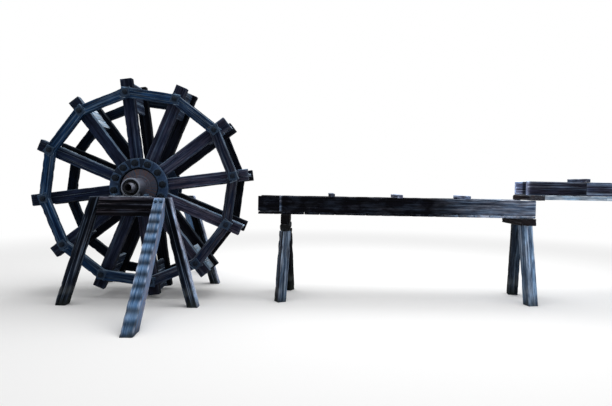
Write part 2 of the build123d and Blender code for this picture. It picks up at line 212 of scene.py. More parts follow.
def skyward(skin: Skin) -> np.ndarray:
    """How far the surface looks up at every point: 1 for a level top, 0 for an upright face.

    The normal at a point is the sum of those of its faces, each the cross product of the two
    diagonals of a quad, or of two edges of a triangle.

    Args:
        skin: The skin.

    Returns:
        The upward part of the normals, not less than 0.
    """
    normals = np.zeros_like(skin.points)
    for faces, last in ((skin.quads, 3), (skin.tris, 2)):
        corners = skin.points[faces]
        flat = np.cross(corners[:, 2] - corners[:, 0], corners[:, last] - corners[:, 1])
        np.add.at(normals, faces.ravel(), np.repeat(flat, last + 1, axis=0))
    length = np.maximum(np.linalg.norm(normals, axis=1), 1e-12)
    return np.clip(normals[:, 2] / length, 0, 1)


def from_rings(rings: np.ndarray, values: dict[str, np.ndarray]) -> Skin:
    """Closes a stack of rings with a fan at each end.

    Args:
        rings: Points as (ring, place round it, coordinate).
        values: Values as (ring, place), or (ring, place, 3) for the grain.

    Returns:
        The closed skin.
    """
    count, around = rings.shape[:2]
    index = np.arange(count * around).reshape(count, around)
    beside = np.roll(index, -1, axis=1)
    quads = np.stack([index[:-1], beside[:-1], beside[1:], index[1:]], -1).reshape(-1, 4)
    first, last = np.full(around, count * around), np.full(around, count * around + 1)
    tris = np.vstack([
        np.stack([first, beside[0], index[0]], -1),
        np.stack([last, index[-1], beside[-1]], -1),
    ])
    points = np.vstack([rings.reshape(-1, 3), rings[[0, -1]].mean(axis=1)])
    flat = {}
    for name, value in values.items():
        middles = value[[0, -1]].mean(axis=1)
        flat[name] = np.concatenate([value.reshape(-1, *value.shape[2:]), middles])
    return Skin(points, quads, tris, flat)


@dataclass(frozen=True)
class Surface:
    """How the faces of a timber or casting are worn, in metres."""

    edge: float = 0.006             # radius of the long edges
    end: float = 0.005              # radius of the edges of its ends
    pitch: float = 0.03             # between rings along it
    grid: float = 0.013             # between points across a face
    ridges: float = 0.0010
    dents: float = 0.0020
    chips: float = 0.006
    checks: int = 2                 # drying checks to a face
    check_width: float = 0.0030
    check_depth: float = 0.010


CASTING = Surface(edge=0.004, end=0.004, grid=0.03, ridges=0.0, dents=0.0004, chips=0.0, checks=0)
PEDESTAL = replace(CASTING, edge=0.003, end=0.003, pitch=0.012, grid=0.02, dents=0.0003)

FACES = (((1, 0), (0, 1)), ((0, -1), (1, 0)), ((-1, 0), (0, -1)), ((0, 1), (-1, 0)))
GROOVE = ((-1.0, 0.0), (-0.4, 0.6), (0.0, 1.0), (0.4, 0.6), (1.0, 0.0))
NARROW = 0.03                       # half faces up to here have no checks
CHECK_SPREAD = 0.8                  # share of a half face that checks keep within
CHECK_CLEAR = 0.010                 # from a check to the nearest plain row
CHECK_TAPER = 0.10                  # over which a check opens and closes
SWING = 0.007                       # how far a check wanders
WORN_EDGE, WORN_END = 0.012, 0.02   # widths of the worn strips
SWING_CELL, RIDGE_CELL, DENT_CELL, CHIP_CELL = 0.22, 0.4, 0.09, 0.05
FINE_ROUND, COARSE_ROUND = 0.014, 0.06
END_RINGS = np.array([0.0, 0.3, 1.0])
END_CLEAR = 1.6                     # from the end to the first plain ring, in end radii
CAP_SHARES = np.array([0.15, 0.4, 0.62, 0.82])[:, None, None]
STAR_CELL, STAR_DEPTH = 0.02, 0.0042


class Section:
    """The places round a squared section: rows across its four faces and rounded corners."""

    def __init__(self, width: float, thick: float, surface: Surface,
                 chance: np.random.Generator) -> None:
        """Sets out the places.

        Args:
            width: Of the section.
            thick: Of the section.
            surface: How it is worn.
            chance: Source of the places of the drying checks.
        """
        rows = []
        self.checks = 0
        for (run, out), span in zip(FACES, (width, thick, width, thick)):
            half = span / 2 - surface.edge
            for row in self.face(half, surface, chance):
                rows.append((*row, half, *run, *out, *out))
            for share in (1 / 3, 2 / 3):
                tilt = share * math.pi / 2
                normal = [math.cos(tilt) * o + math.sin(tilt) * r for o, r in zip(out, run)]
                rows.append((1.0, -1, 0.0, 0.0, half, *run, *out, *normal))
        table = np.array(rows)
        self.place, self.group, self.offset, self.depth, self.half = table[:, :5].T
        self.group = self.group.astype(int)
        self.run, self.out, self.normal = table[:, 5:7], table[:, 7:9], table[:, 9:11]
        spots = (self.place[:, None] * self.run + self.out) * (width / 2, thick / 2)
        steps = np.linalg.norm(np.diff(spots, axis=0, append=spots[:1]), axis=1)
        self.around = np.concatenate([[0.0], np.cumsum(steps)[:-1]])
        self.length = float(steps.sum())
        self.from_edge = (1 - np.abs(self.place)) * self.half

    def face(self, half: float, surface: Surface,
             chance: np.random.Generator) -> list[tuple[float, int, float, float]]:
        """The rows across one face: evenly spaced ones, and five to each drying check.

        Args:
            half: Half its flat width.
            surface: How it is worn.
            chance: Source of the places of the checks.

        Returns:
            (share of the half width, number of the check or -1, place across the check,
            share of its depth) of every row.
        """
        marks = np.linspace(-1, 1, max(2, round(2 * half / surface.grid)) + 1)
        rows = []
        wanted = surface.checks if half > NARROW else 0
        for number in range(wanted):
            share = (number + chance.uniform(0.25, 0.75)) / wanted
            spot = -CHECK_SPREAD + 2 * CHECK_SPREAD * share
            marks = marks[np.abs(marks - spot) * half > CHECK_CLEAR]
            rows += [(spot, self.checks, place, depth) for place, depth in GROOVE]
            self.checks += 1
        rows += [(mark, -1, 0.0, 0.0) for mark in marks]
        return sorted(rows, key=lambda row: row[0] + row[2] * 1e-4)


def timber(length: float, width: float, thick: float, surface: Surface, seed: int,
           stops: tuple[float, ...] = ()) -> Skin:
    """A squared timber in its own straight coordinates (along, across, through).

    A point stands on the inner rectangle of its section, plus the edge radius along the
    normal. Fine ridges, dents, chipped edges and V-shaped drying checks, all from value
    noise, move it inward along that normal. The ends are rounded and closed with rings, sunk
    by 4 t (1 - t) times a star of cubed value noise at the share t of the way out.

    Args:
        length: Of the timber.
        width: Of its section.
        thick: Of its section.
        surface: How it is worn.
        seed: Seed of its irregularities.
        stops: Places along it that need a ring of their own.

    Returns:
        The closed skin, along from 0 to the length, centred across and through.
    """
    chance = np.random.default_rng(seed)
    section = Section(width, thick, surface, chance)
    clear = surface.end * END_CLEAR
    inner = np.arange(clear, length - clear, surface.pitch)
    ends = surface.end * END_RINGS
    along = np.unique(np.round(np.concatenate([ends, inner, length - ends, stops]), 5))
    s, u = along[:, None], section.around[None, :]
    turn = u / section.length
    fine, coarse = (max(3, round(section.length / cell)) for cell in (FINE_ROUND, COARSE_ROUND))

    centre = chance.uniform(0, length, section.checks + 1)
    reach = chance.uniform(0.12, 0.5, section.checks + 1) * max(length, 0.5)
    spread = surface.check_width * chance.uniform(0.5, 1.5, section.checks + 1)
    group = section.group[None, :]
    open_ = smooth(reach[group] - np.abs(s - centre[group]), 0.0, CHECK_TAPER) * (group >= 0)
    swing = (noise(s / SWING_CELL, group * 7.31, seed + 1) - 0.5) * SWING * (group >= 0)
    shift = swing + section.offset * spread[group] * (0.15 + 0.85 * open_)
    place = section.place[None, :] + shift / section.half[None, :]
    ring = ((place[..., None] * section.run + section.out)
            * (width / 2 - surface.edge, thick / 2 - surface.edge))
    ring = ring + surface.edge * section.normal

    corner = smooth(-section.from_edge, -WORN_EDGE, 0.0)[None, :]
    from_end = np.minimum(s, length - s)
    bluff = np.clip(surface.end - from_end, 0, None)
    inset = surface.end - np.sqrt(np.clip(surface.end ** 2 - bluff ** 2, 0, None))
    ridge = noise(s / RIDGE_CELL, turn * fine, seed + 2, fine)
    dent = noise(s / DENT_CELL, turn * coarse, seed + 3, coarse)
    chip = noise(s / CHIP_CELL, turn * coarse, seed + 4, coarse)
    depth = inset + surface.ridges * ridge + surface.dents * smooth(dent, 0.45, 1.0)
    depth = depth + surface.chips * corner * smooth(chip, 0.6, 1.0)
    depth = depth + surface.check_depth * section.depth * open_
    ring = ring - depth[..., None] * section.normal

    body = np.concatenate([np.broadcast_to(s, depth.shape)[..., None], ring], -1)
    dome = 4 * CAP_SHARES[..., 0] * (1 - CAP_SHARES[..., 0])
    star = STAR_DEPTH * noise(u / STAR_CELL, 0 * u, seed + 5) ** 3
    caps = []
    for end, sign in ((0, 1), (-1, -1)):
        cap = body[end][None] * CAP_SHARES
        cap[..., 0] = along[end] + sign * star * dome
        caps.append(cap)
    rings = np.concatenate([caps[0], body, caps[1][::-1]])
    pad = ((len(CAP_SHARES),) * 2, (0, 0))
    values = {
        "wear": np.pad(np.maximum(corner, smooth(-from_end, -WORN_END, 0.0)), pad, mode="edge"),
        "crack": np.pad(section.depth * open_, pad),
        "end": np.pad(np.zeros_like(depth), pad, constant_values=1.0),
        "grain": rings + chance.uniform(-40, 40, 3),
    }
    return from_rings(rings, values)


def between(skin: Skin, size: Triple, corners: np.ndarray) -> Skin:
    """Lays a straight timber between two end faces.

    A point at the shares (a, b, c) of the length, width and thickness goes to the trilinear
    blend of the eight corners.

    Args:
        skin: The straight timber.
        size: Its length, width and thickness.
        corners: The corners as (end, across, through, coordinate).

    Returns:
        The laid timber.
    """
    def rule(points: np.ndarray) -> np.ndarray:
        """Blends the corners.

        Args:
            points: The straight timber's.

        Returns:
            The laid ones.
        """
        a, b, c = (points / size + (0, 0.5, 0.5)).T[..., None]
        near, far = ((end[0, 0] * (1 - c) + end[0, 1] * c) * (1 - b)
                     + (end[1, 0] * (1 - c) + end[1, 1] * c) * b for end in corners)
        return near * (1 - a) + far * a
    return skin.laid(rule)


def squared(low: Triple, high: Triple, axes: str, surface: Surface, seed: int,
            shape: Rule | None = None) -> Skin:
    """A timber square to the axes between two corners.

    Args:
        low: Its lowest corner.
        high: Its highest corner.
        axes: The axes that it runs along, across and through, such as "xzy".
        surface: How it is worn.
        seed: Seed of its irregularities.
        shape: A first rule for its straight points, or none.

    Returns:
        The timber.
    """
    order = ["xyz".index(axis) for axis in axes]
    lowest, highest = np.array(low)[order], np.array(high)[order]
    size = highest - lowest
    middle = (lowest + highest) / 2 - (size[0] / 2, 0, 0)

    def rule(points: np.ndarray) -> np.ndarray:
        """Shapes the points, moves them to the middle and swaps the axes.

        Args:
            points: The straight timber's.

        Returns:
            The placed ones.
        """
        placed = np.empty_like(points)
        placed[:, order] = (shape(points) if shape else points) + middle
        return placed
    return timber(*size, surface, seed).laid(rule)


CURVE = np.linspace(0, 1, 5)[None, :, None]
CURVE_WEAR = (0.0, 0.7, 1.0, 0.7, 0.0)


def turned(outline: list[Pair], corner: float, around: int = 144) -> Skin:
    """A turned ring about the axle.

    Each corner of the closed outline of (radius, along the axle) becomes a quadratic curve
    between two points on its edges; the outline is then carried round the axle.

    Args:
        outline: Its corners.
        corner: Length of edge that a rounded corner takes on each side.
        around: Steps round the axle.

    Returns:
        The closed skin, placed on the axle.
    """
    points = np.array(outline)
    tangents = []
    for shift in (1, -1):
        edge = np.roll(points, shift, axis=0) - points
        length = np.linalg.norm(edge, axis=1)[:, None]
        tangents.append((points + edge / length * np.minimum(corner, length * 0.45))[:, None])
    curve = ((1 - CURVE) ** 2 * tangents[0] + 2 * CURVE * (1 - CURVE) * points[:, None]
             + CURVE ** 2 * tangents[1]).reshape(-1, 2)
    angle = np.arange(around) * 2 * math.pi / around
    radius, depth = curve[:, :1], curve[:, 1:]
    rings = np.stack([radius * np.cos(angle), depth + 0 * angle, radius * np.sin(angle)], -1)
    index = np.arange(rings.shape[0] * around).reshape(-1, around)
    below, beside = np.roll(index, -1, axis=0), np.roll(index, -1, axis=1)
    quads = np.stack([index, beside, np.roll(below, -1, axis=1), below], -1).reshape(-1, 4)
    grain = np.stack([np.cos(angle) * 9 + 0 * radius, radius * 5 + 0 * angle,
                      np.sin(angle) * 9 + depth * 6], -1)
    worn = np.tile(CURVE_WEAR, len(points))[:, None] + 0 * angle
    values = {"wear": worn.ravel(), "grain": grain.reshape(-1, 3)}
    skin = Skin(rings.reshape(-1, 3), quads, np.empty((0, 3), int), values)
    return skin.laid(lambda points: points + AXLE).toned(tone=1.0)


NUT_SHARE = 0.5                     # height of a nut in widths across its flats


def nut(flats: float, seed: int) -> Skin:
    """A hexagon nut with the rounded end of its bolt, standing up along its third axis.

    The hexagon has the radius (flats / 2) / cos(t) at the angle t from the middle of a flat;
    above the chamfer the rings are round.

    Args:
        flats: Across the flats.
        seed: Seed of its place in the noise.

    Returns:
        The closed skin.
    """
    angle = np.arange(24) * 2 * math.pi / 24
    from_flat = (angle + math.pi / 6) % (math.pi / 3) - math.pi / 6
    hexagon = flats / 2 / np.cos(from_flat)
    bolt = flats * 0.29
    # Radius, share of the height and wear of each ring, from the seat up.
    levels = ((hexagon, 0.0, 0.0), (hexagon, 0.86, 0.6),
              (np.minimum(hexagon, flats * 0.515), 0.94, 1.0), (flats * 0.46, 1.0, 0.7),
              (bolt, 1.001, 0.1), (bolt, 1.22, 0.5), (bolt * 0.85, 1.30, 0.8))
    radius, rise, worn = (np.array([level[k] + 0 * angle for level in levels]) for k in range(3))
    height = flats * NUT_SHARE
    rings = np.stack([radius * np.cos(angle), radius * np.sin(angle), height * rise], -1)
    offset = np.random.default_rng(seed).uniform(-30, 30, 3)
    return from_rings(rings, {"wear": worn, "grain": rings * 24 + offset}).toned(tone=1.0)


def slab(side: float, thick: float, seed: int) -> Skin:
    """A square plate with softened edges, standing up along its third axis.

    A ring is the square (cos t, sin t) / max(|cos t|, |sin t|), drawn in by an inset.

    Args:
        side: Of the square.
        thick: Of the plate.
        seed: Seed of its place in the noise.

    Returns:
        The closed skin.
    """
    angle = np.arange(20) * 2 * math.pi / 20 + math.pi / 20
    square = np.stack([np.cos(angle), np.sin(angle)], -1)
    square = square / np.abs(square).max(axis=1)[:, None]
    # Share of the thickness, inset, share of the width and wear of each ring, from the seat up.
    levels = np.array([(0.0, 0.0, 1.0, 0.2), (0.78, 0.0, 1.0, 0.9), (1.0, 0.0015, 1.0, 1.0),
                       (1.0, 0.0, 0.6, 0.2)])[:, :, None]
    rise, inset, share, worn = (levels[:, k] for k in range(4))
    flat = square * ((side / 2 - inset) * share)[..., None]
    rings = np.concatenate([flat, (rise * thick + 0 * angle)[..., None]], -1)
    offset = np.random.default_rng(seed).uniform(-30, 30, 3)
    return from_rings(rings, {"wear": worn + 0 * angle, "grain": rings * 20 + offset})


def linear(colour: Colour) -> tuple[float, float, float, float]:
    """A colour of the screen as light.

    Args:
        colour: Red, green and blue from 0 to 255.

    Returns:
        Linear red, green, blue and a full alpha.
    """
    share = np.array(colour) / 255
    light = np.where(share <= 0.04045, share / 12.92, ((share + 0.055) / 1.055) ** 2.4)
    return (*(float(part) for part in light), 1.0)


class Sheet:
    """Adds shader nodes to a tree and wires them."""

    def __init__(self, tree: bpy.types.NodeTree) -> None:
        """Takes the tree to fill."""
        self.tree = tree

    def wire(self, node: bpy.types.Node, inputs: dict[str | int, Feed]) -> None:
        """Links or sets inputs of a node.

        Args:
            node: The node.
            inputs: Sockets or constants by input name or number.
        """
        for name, value in inputs.items():
            if isinstance(value, bpy.types.NodeSocket):
                self.tree.links.new(value, node.inputs[name])
            else:
                node.inputs[name].default_value = value

    def add(self, kind: str, inputs: dict[str | int, Feed], **settings: object) -> bpy.types.Node:
        """Adds one node.

        Args:
            kind: Its type.
            inputs: Sockets or constants by input name or number.
            **settings: Its properties.

        Returns:
            The node.
        """
        node = self.tree.nodes.new(kind)
        for name, value in settings.items():
            setattr(node, name, value)
        self.wire(node, inputs)
        return node

    def chained(self, operation: str, terms: tuple[Feed, ...],
                clamp: bool = False) -> bpy.types.NodeSocket:
        """One sum after another over numbers or sockets.

        Args:
            operation: Of the Math nodes.
            terms: What goes in, two or more.
            clamp: Keeps the last result between 0 and 1.

        Returns:
            The result.
        """
        result = terms[0]
        for number, term in enumerate(terms[1:], 2):
            result = self.add("ShaderNodeMath", {0: result, 1: term}, operation=operation,
                              use_clamp=clamp and number == len(terms)).outputs[0]
        return result

    def times(self, *factors: Feed, clamp: bool = False) -> bpy.types.NodeSocket:
        """The product of numbers or sockets."""
        return self.chained("MULTIPLY", factors, clamp)

    def plus(self, *terms: Feed) -> bpy.types.NodeSocket:
        """The sum of numbers or sockets."""
        return self.chained("ADD", terms)

    def sine(self, value: Feed) -> bpy.types.NodeSocket:
        """The sine of a value."""
        return self.add("ShaderNodeMath", {0: value}, operation="SINE").outputs[0]

    def rise(self, value: Feed, low: float, high: float, bottom: float = 0.0,
             top: float = 1.0) -> bpy.types.NodeSocket:
        """A smooth rise from bottom to top between two values."""
        inputs = {0: value, 1: low, 2: high, 3: bottom, 4: top}
        return self.add("ShaderNodeMapRange", inputs, interpolation_type="SMOOTHSTEP").outputs[0]

    def mix(self, share: Feed, a: Feed, b: Feed, blend: str = "MIX") -> bpy.types.NodeSocket:
        """Two colours mixed by a share."""
        inputs = {0: share, 6: a, 7: b}
        return self.add("ShaderNodeMix", inputs, data_type="RGBA", blend_type=blend).outputs[2]

    def tinted(self, colour: Feed, tint: Feed) -> bpy.types.NodeSocket:
        """A colour multiplied by another."""
        return self.mix(1.0, colour, tint, "MULTIPLY")

    def shaded(self, colour: Feed, level: Feed) -> bpy.types.NodeSocket:
        """A colour multiplied by a number."""
        grey = self.add("ShaderNodeCombineColor", {0: level, 1: level, 2: level}).outputs[0]
        return self.tinted(colour, grey)

    def dark(self, share: float, colour: Feed) -> bpy.types.NodeSocket:
        """A colour taken towards black by a share."""
        return self.mix(share, colour, (0.0, 0.0, 0.0, 1.0))

    def stretched(self, vector: Feed, scale: Triple) -> bpy.types.NodeSocket:
        """A vector with each part multiplied."""
        inputs = {0: vector, 1: scale}
        return self.add("ShaderNodeVectorMath", inputs, operation="MULTIPLY").outputs[0]

    def length(self, vector: Feed) -> bpy.types.NodeSocket:
        """The length of a vector."""
        return self.add("ShaderNodeVectorMath", {0: vector}, operation="LENGTH").outputs["Value"]

    def noise(self, vector: Feed, scale: Triple, detail: float,
              rough: float) -> bpy.types.NodeSocket:
        """Noise on a stretched vector.

        Args:
            vector: Where it is read.
            scale: Cells to a metre along each axis.
            detail: Its octaves.
            rough: Strength of each octave beside the one before.

        Returns:
            The noise, about 0.5.
        """
        inputs = {"Vector": self.stretched(vector, scale), "Scale": 1.0, "Detail": detail,
                  "Roughness": rough}
        return self.add("ShaderNodeTexNoise", inputs).outputs[0]


def new_group(name: str, inputs: dict[str, str],
              outputs: dict[str, str]) -> tuple[Sheet, dict[str, bpy.types.NodeSocket]]:
    """A node group with named sockets.

    Args:
        name: Of the group.
        inputs: Socket kinds by name: Float, Vector or Color.
        outputs: The same for its outputs.

    Returns:
        A sheet on its tree, and the sockets that its inputs arrive on, by name.
    """
    tree = bpy.data.node_groups.new(name, "ShaderNodeTree")
    for direction, sockets in (("INPUT", inputs), ("OUTPUT", outputs)):
        for socket, kind in sockets.items():
            tree.interface.new_socket(socket, in_out=direction, socket_type=f"NodeSocket{kind}")
    arriving = tree.nodes.new("NodeGroupInput")
    return Sheet(tree), {name: arriving.outputs[name] for name in inputs}


def timber_grain() -> bpy.types.NodeTree:
    """The group that colours timber: fibres, pale streaks, knots, edges, checks and wetness, with
    painted sky light on faces that look up and painted shade in the checks and with the wetness.

    Returns:
        The node group, with the outputs Color, Roughness and Height.
    """
    colours = dict.fromkeys(("Body", "Warm Body", "Deep", "Pale", "Wet"), "Color")
    floats = dict.fromkeys(("Wear", "Crack", "End", "Tone", "Warm", "Damp", "Sky", "Streaks",
                            "Knots", "Silver"), "Float")
    sheet, given = new_group("timber_grain", {"Grain": "Vector", **colours, **floats},
                             {"Color": "Color", "Roughness": "Float", "Height": "Float"})
    rise, mix, times, plus = sheet.rise, sheet.mix, sheet.times, sheet.plus
    grain, deep, pale, sky = (given[name] for name in ("Grain", "Deep", "Pale", "Sky"))
    fibre = sheet.noise(grain, (5, 110, 110), 5, 0.62)
    hair = sheet.noise(grain, (13, 480, 480), 3, 0.6)
    band = sheet.noise(grain, (1.3, 26, 26), 3, 0.6)
    coarse = sheet.noise(grain, (0.8, 40, 40), 2, 0.5)
    blotch = sheet.noise(grain, (5, 9, 9), 4, 0.6)
    patch = sheet.noise(grain, (3, 14, 14), 3, 0.6)

    # Fibres with dark bands between them, and pale streaks.
    body = mix(given["Warm"], given["Body"], given["Warm Body"])
    colour = mix(rise(fibre, 0.36, 0.62), deep, body)
    colour = mix(rise(band, 0.34, 0.56, 0.55, 0.0), colour, deep)
    colour = mix(rise(coarse, 0.30, 0.45, 0.85, 0.0), colour, deep)
    streak = times(rise(coarse, 0.52, 0.66), rise(hair, 0.30, 0.60, 0.45),
                   rise(band, 0.36, 0.56, 0.25), given["Streaks"], clamp=True)
    colour = mix(streak, colour, pale)

    # Knots with rings of their own.
    cells = sheet.add("ShaderNodeTexVoronoi", {
        "Vector": sheet.stretched(grain, (2.3, 6.5, 6.5)), "Scale": 1.0}).outputs["Distance"]
    knot = times(rise(cells, 0.13, 0.06), given["Knots"], clamp=True)
    rings = rise(sheet.sine(times(cells, 60.0)), -1, 1, 0.5)
    colour = mix(times(knot, rings), colour, deep)

    # Silvered tops and rubbed edges, both stronger where they face the sky at rest: partly
    # weathering, partly painted sky light.
    lit = times(rise(sky, 0.20, 0.70), given["Silver"], rise(fibre, 0.30, 0.60, 0.45), clamp=True)
    colour = mix(lit, colour, pale)
    edge = times(given["Wear"], rise(blotch, 0.34, 0.62, 0.0, 0.9), rise(sky, 0.0, 0.55, 0.12))
    colour = mix(edge, colour, pale)

    # Year rings on the cut ends.
    out = sheet.length(sheet.stretched(grain, (0, 1, 1)))
    years = rise(sheet.sine(plus(times(out, 640.0), times(blotch, 22.0))), -0.8, 0.9, 0.25)
    butt = mix(years, deep, mix(0.22, body, pale))
    colour = mix(times(given["End"], 0.75), colour, butt)

    # Cool and warm patches, light and dark ones, wetness that also paints shade, and painted shade,
    # black, inside the checks.
    cast = mix(rise(patch, 0.40, 0.60), (0.94, 1.01, 1.06, 1), (1.14, 1.0, 0.93, 1))
    colour = sheet.tinted(colour, cast)
    colour = sheet.shaded(colour, times(rise(blotch, 0.25, 0.75, 0.72, 1.22), given["Tone"]))
    # Wetness, which also paints shade: the tint darkens the colour where the value is high.
    soaked_and_shaded = times(given["Damp"], rise(blotch, 0.30, 0.60, 1.12, 0.92), clamp=True)
    colour = mix(soaked_and_shaded, colour, sheet.tinted(colour, given["Wet"]))
    # Painted shade: the inside of the checks taken almost to black.
    colour = mix(times(given["Crack"], 1.15, clamp=True), colour, sheet.dark(0.85, colour))

    rough = plus(rise(hair, 0.3, 0.7, 0.62, 0.86), times(soaked_and_shaded, -0.22))
    height = plus(times(fibre, 0.7), times(hair, 0.35), times(knot, 0.25))
    sheet.add("NodeGroupOutput", {"Color": colour, "Roughness": rough, "Height": height})
    return sheet.tree


def foot_stain() -> bpy.types.NodeTree:
    """The group that stains timber near the ground: a dark foot under a pale dried line.

    Returns:
        The node group, with the output Color.
    """
    sheet, given = new_group("foot_stain", {"Color": "Color", "Place": "Vector"},
                             {"Color": "Color"})
    rise, mix, times = sheet.rise, sheet.mix, sheet.times
    uneven = sheet.noise(given["Place"], (9, 9, 3), 4, 0.6)
    up = sheet.add("ShaderNodeSeparateXYZ", {0: given["Place"]}).outputs[2]
    height = sheet.plus(up, times(uneven, -0.22))
    line = times(rise(height, 0.0, 0.05), rise(height, 0.16, 0.06), 0.12)
    colour = mix(line, given["Color"], linear((128, 134, 132)))
    stain = mix(rise(uneven, 0.4, 0.6), linear((16, 18, 20)), linear((34, 38, 32)))
    colour = mix(times(rise(height, 0.05, -0.12), 0.75), colour, stain)
    sheet.add("NodeGroupOutput", {"Color": colour})
    return sheet.tree


def rusted_iron() -> bpy.types.NodeTree:
    """The group that colours iron: blotched rust, dark scale, rubbed edges with painted highlights
    where they face up, and fine pits.

    Returns:
        The node group, with the outputs Color, Roughness, Metallic and Height.
    """
    colours = dict.fromkeys(("Steel", "Rust", "Bright"), "Color")
    floats = dict.fromkeys(("Amount", "Wear", "Sky", "Tone"), "Float")
    sheet, given = new_group(
        "rusted_iron", {"Grain": "Vector", **colours, **floats},
        {"Color": "Color", "Roughness": "Float", "Metallic": "Float", "Height": "Float"})
    rise, mix, times, plus = sheet.rise, sheet.mix, sheet.times, sheet.plus
    blotch = sheet.noise(given["Grain"], (1, 1, 1), 6, 0.65)
    fine = sheet.noise(given["Grain"], (6, 9, 6), 4, 0.7)
    streak = sheet.noise(given["Grain"], (3.2, 0.5, 3.2), 3, 0.6)
    rust = rise(plus(times(blotch, 0.6), times(streak, 0.4), given["Amount"]), 0.88, 1.10)
    flaked = mix(rise(fine, 0.35, 0.65), sheet.dark(0.55, given["Rust"]), given["Rust"])
    scale = mix(rise(fine, 0.3, 0.7), sheet.dark(0.45, given["Steel"]), given["Steel"])
    colour = sheet.shaded(mix(rust, scale, flaked), given["Tone"])
    # Rubbed edges, stronger where they face up at rest: partly wear, partly painted highlight.
    rubbed = times(given["Wear"], rise(fine, 0.35, 0.6), rise(given["Sky"], 0.0, 0.5, 0.35), 0.85)
    sheet.add("NodeGroupOutput", {
        "Color": mix(rubbed, colour, given["Bright"]),
        "Roughness": plus(rise(fine, 0.3, 0.7, 0.42, 0.7), times(rust, 0.2)),
        "Metallic": plus(0.55, times(rust, -0.5)),
        "Height": plus(times(fine, 0.6), times(blotch, 0.6))})
    return sheet.tree


@dataclass(frozen=True)
class Finish:
    """What every finish has: its group, the mesh values that it reads, gloss and relief."""

    name: str
    GROUP: ClassVar[Callable[[], bpy.types.NodeTree]]
    READS: ClassVar[tuple[str, ...]]
    SPECULAR: ClassVar[float]
    RELIEF: ClassVar[Pair]          # strength and distance of the bump

    def inputs(self) -> dict[str, Feed]:
        """Colours as light and numbers as they are, by the names of the group's inputs.

        Returns:
            The inputs.
        """
        given = {}
        for field in fields(self):
            value = getattr(self, field.name)
            if field.name not in ("name", "stained"):
                light = linear(value) if isinstance(value, tuple) else value
                given[field.name.replace("_", " ").title()] = light
        return given


@dataclass(frozen=True)
class TimberFinish(Finish):
    """Colours of a timber on the screen, and how it is weathered."""

    body: Colour
    warm_body: Colour
    deep: Colour
    pale: Colour
    # Tint of wetness, used also for painted shade.
    wet: Colour = (70, 72, 84)
    streaks: float = 0.8
    knots: float = 0.5
    # Strength of silvering and of painted sky light on faces that look up.
    silver: float = 0.6
    stained: bool = False
    GROUP = timber_grain
    READS = ("grain", *VALUES)
    SPECULAR = 0.04
    RELIEF = (0.6, 0.004)


@dataclass(frozen=True)
class IronFinish(Finish):
    """Colours of an iron piece on the screen, and how far it has rusted."""

    steel: Colour
    rust: Colour
    bright: Colour
    amount: float = 0.4
    GROUP = rusted_iron
    READS = ("grain", "wear", "sky", "tone")
    SPECULAR = 0.25
    RELIEF = (0.35, 0.003)


SPOKE_WOOD = TimberFinish("spoke_wood", (34, 46, 72), (66, 62, 74), (12, 20, 38), (120, 142, 166),
                          streaks=0.2, silver=1.0)
RIM_WOOD = TimberFinish("rim_wood", (32, 64, 100), (62, 62, 72), (4, 20, 44), (128, 152, 176),
                        streaks=0.4, silver=0.9)
PADDLE_WOOD = TimberFinish("paddle_wood", (58, 76, 102), (40, 42, 54), (14, 20, 36),
                           (188, 214, 238), streaks=0.15, silver=1.0)
BEAM_WOOD = TimberFinish("beam_wood", (38, 38, 51), (6, 16, 44), (4, 4, 10), (116, 118, 134),
                         streaks=0.6, silver=0.45)
LEG_WOOD = TimberFinish("leg_wood", (22, 30, 45), (84, 88, 102), (2, 4, 10), (118, 134, 156),
                        stained=True)
BRACE_WOOD = TimberFinish("brace_wood", (118, 144, 176), (106, 102, 110), (66, 98, 134),
                          (156, 176, 206), streaks=0.15, silver=0.0, stained=True)
LOWER_WOOD = TimberFinish("lower_flume_wood", (96, 109, 130), (110, 122, 140), (30, 38, 54),
                          (150, 166, 186), wet=(44, 40, 50), streaks=0.4, knots=0.9)
UPPER_WOOD = TimberFinish("upper_flume_wood", (40, 44, 62), (72, 80, 104), (12, 12, 22),
                          (124, 140, 164), knots=0.9)
POST_WOOD = TimberFinish("post_wood", (104, 126, 152), (54, 54, 54), (16, 26, 44),
                         (150, 170, 194), stained=True)
PALE_POST_WOOD = TimberFinish("pale_post_wood", (140, 168, 200), (90, 104, 122), (48, 68, 94),
                              (178, 200, 224), stained=True)
SILVER_WOOD = TimberFinish("silver_wood", (186, 212, 236), (168, 190, 212), (104, 126, 150),
                           (214, 232, 246))
CROSS_WOOD = TimberFinish("cross_wood", (62, 53, 58), (26, 27, 22), (8, 7, 9), (112, 120, 130),
                          silver=0.5)

DISC_IRON = IronFinish("disc_iron", (80, 90, 110), (138, 92, 66), (150, 154, 168), 0.42)
RING_IRON = IronFinish("ring_iron", (36, 54, 80), (46, 52, 64), (128, 150, 176), 0.30)
PLATE_IRON = IronFinish("plate_iron", (34, 50, 74), (44, 46, 56), (96, 124, 148), 0.30)
HOUSING_IRON = IronFinish("housing_iron", (104, 110, 128), (100, 84, 82), (206, 218, 234), 0.38)
AXLE_IRON = IronFinish("axle_iron", (92, 96, 110), (92, 74, 66), (184, 190, 204), 0.36)


def shown(name: str, data: bpy.types.ID) -> bpy.types.Object:
    """A new object in the scene.

    Args:
        name: Of the object.
        data: Its mesh, lamp or camera.

    Returns:
        The object.
    """
    item = bpy.data.objects.new(name, data)
    bpy.context.scene.collection.objects.link(item)
    return item


def surfaced(name: str) -> tuple[bpy.types.Material, Sheet, bpy.types.Node]:
    """A new material.

    Args:
        name: Of the material.

    Returns:
        The material, the sheet on its tree and its shader.
    """
    material = bpy.data.materials.new(name)
    material.use_nodes = True
    return material, Sheet(material.node_tree), material.node_tree.nodes["Principled BSDF"]


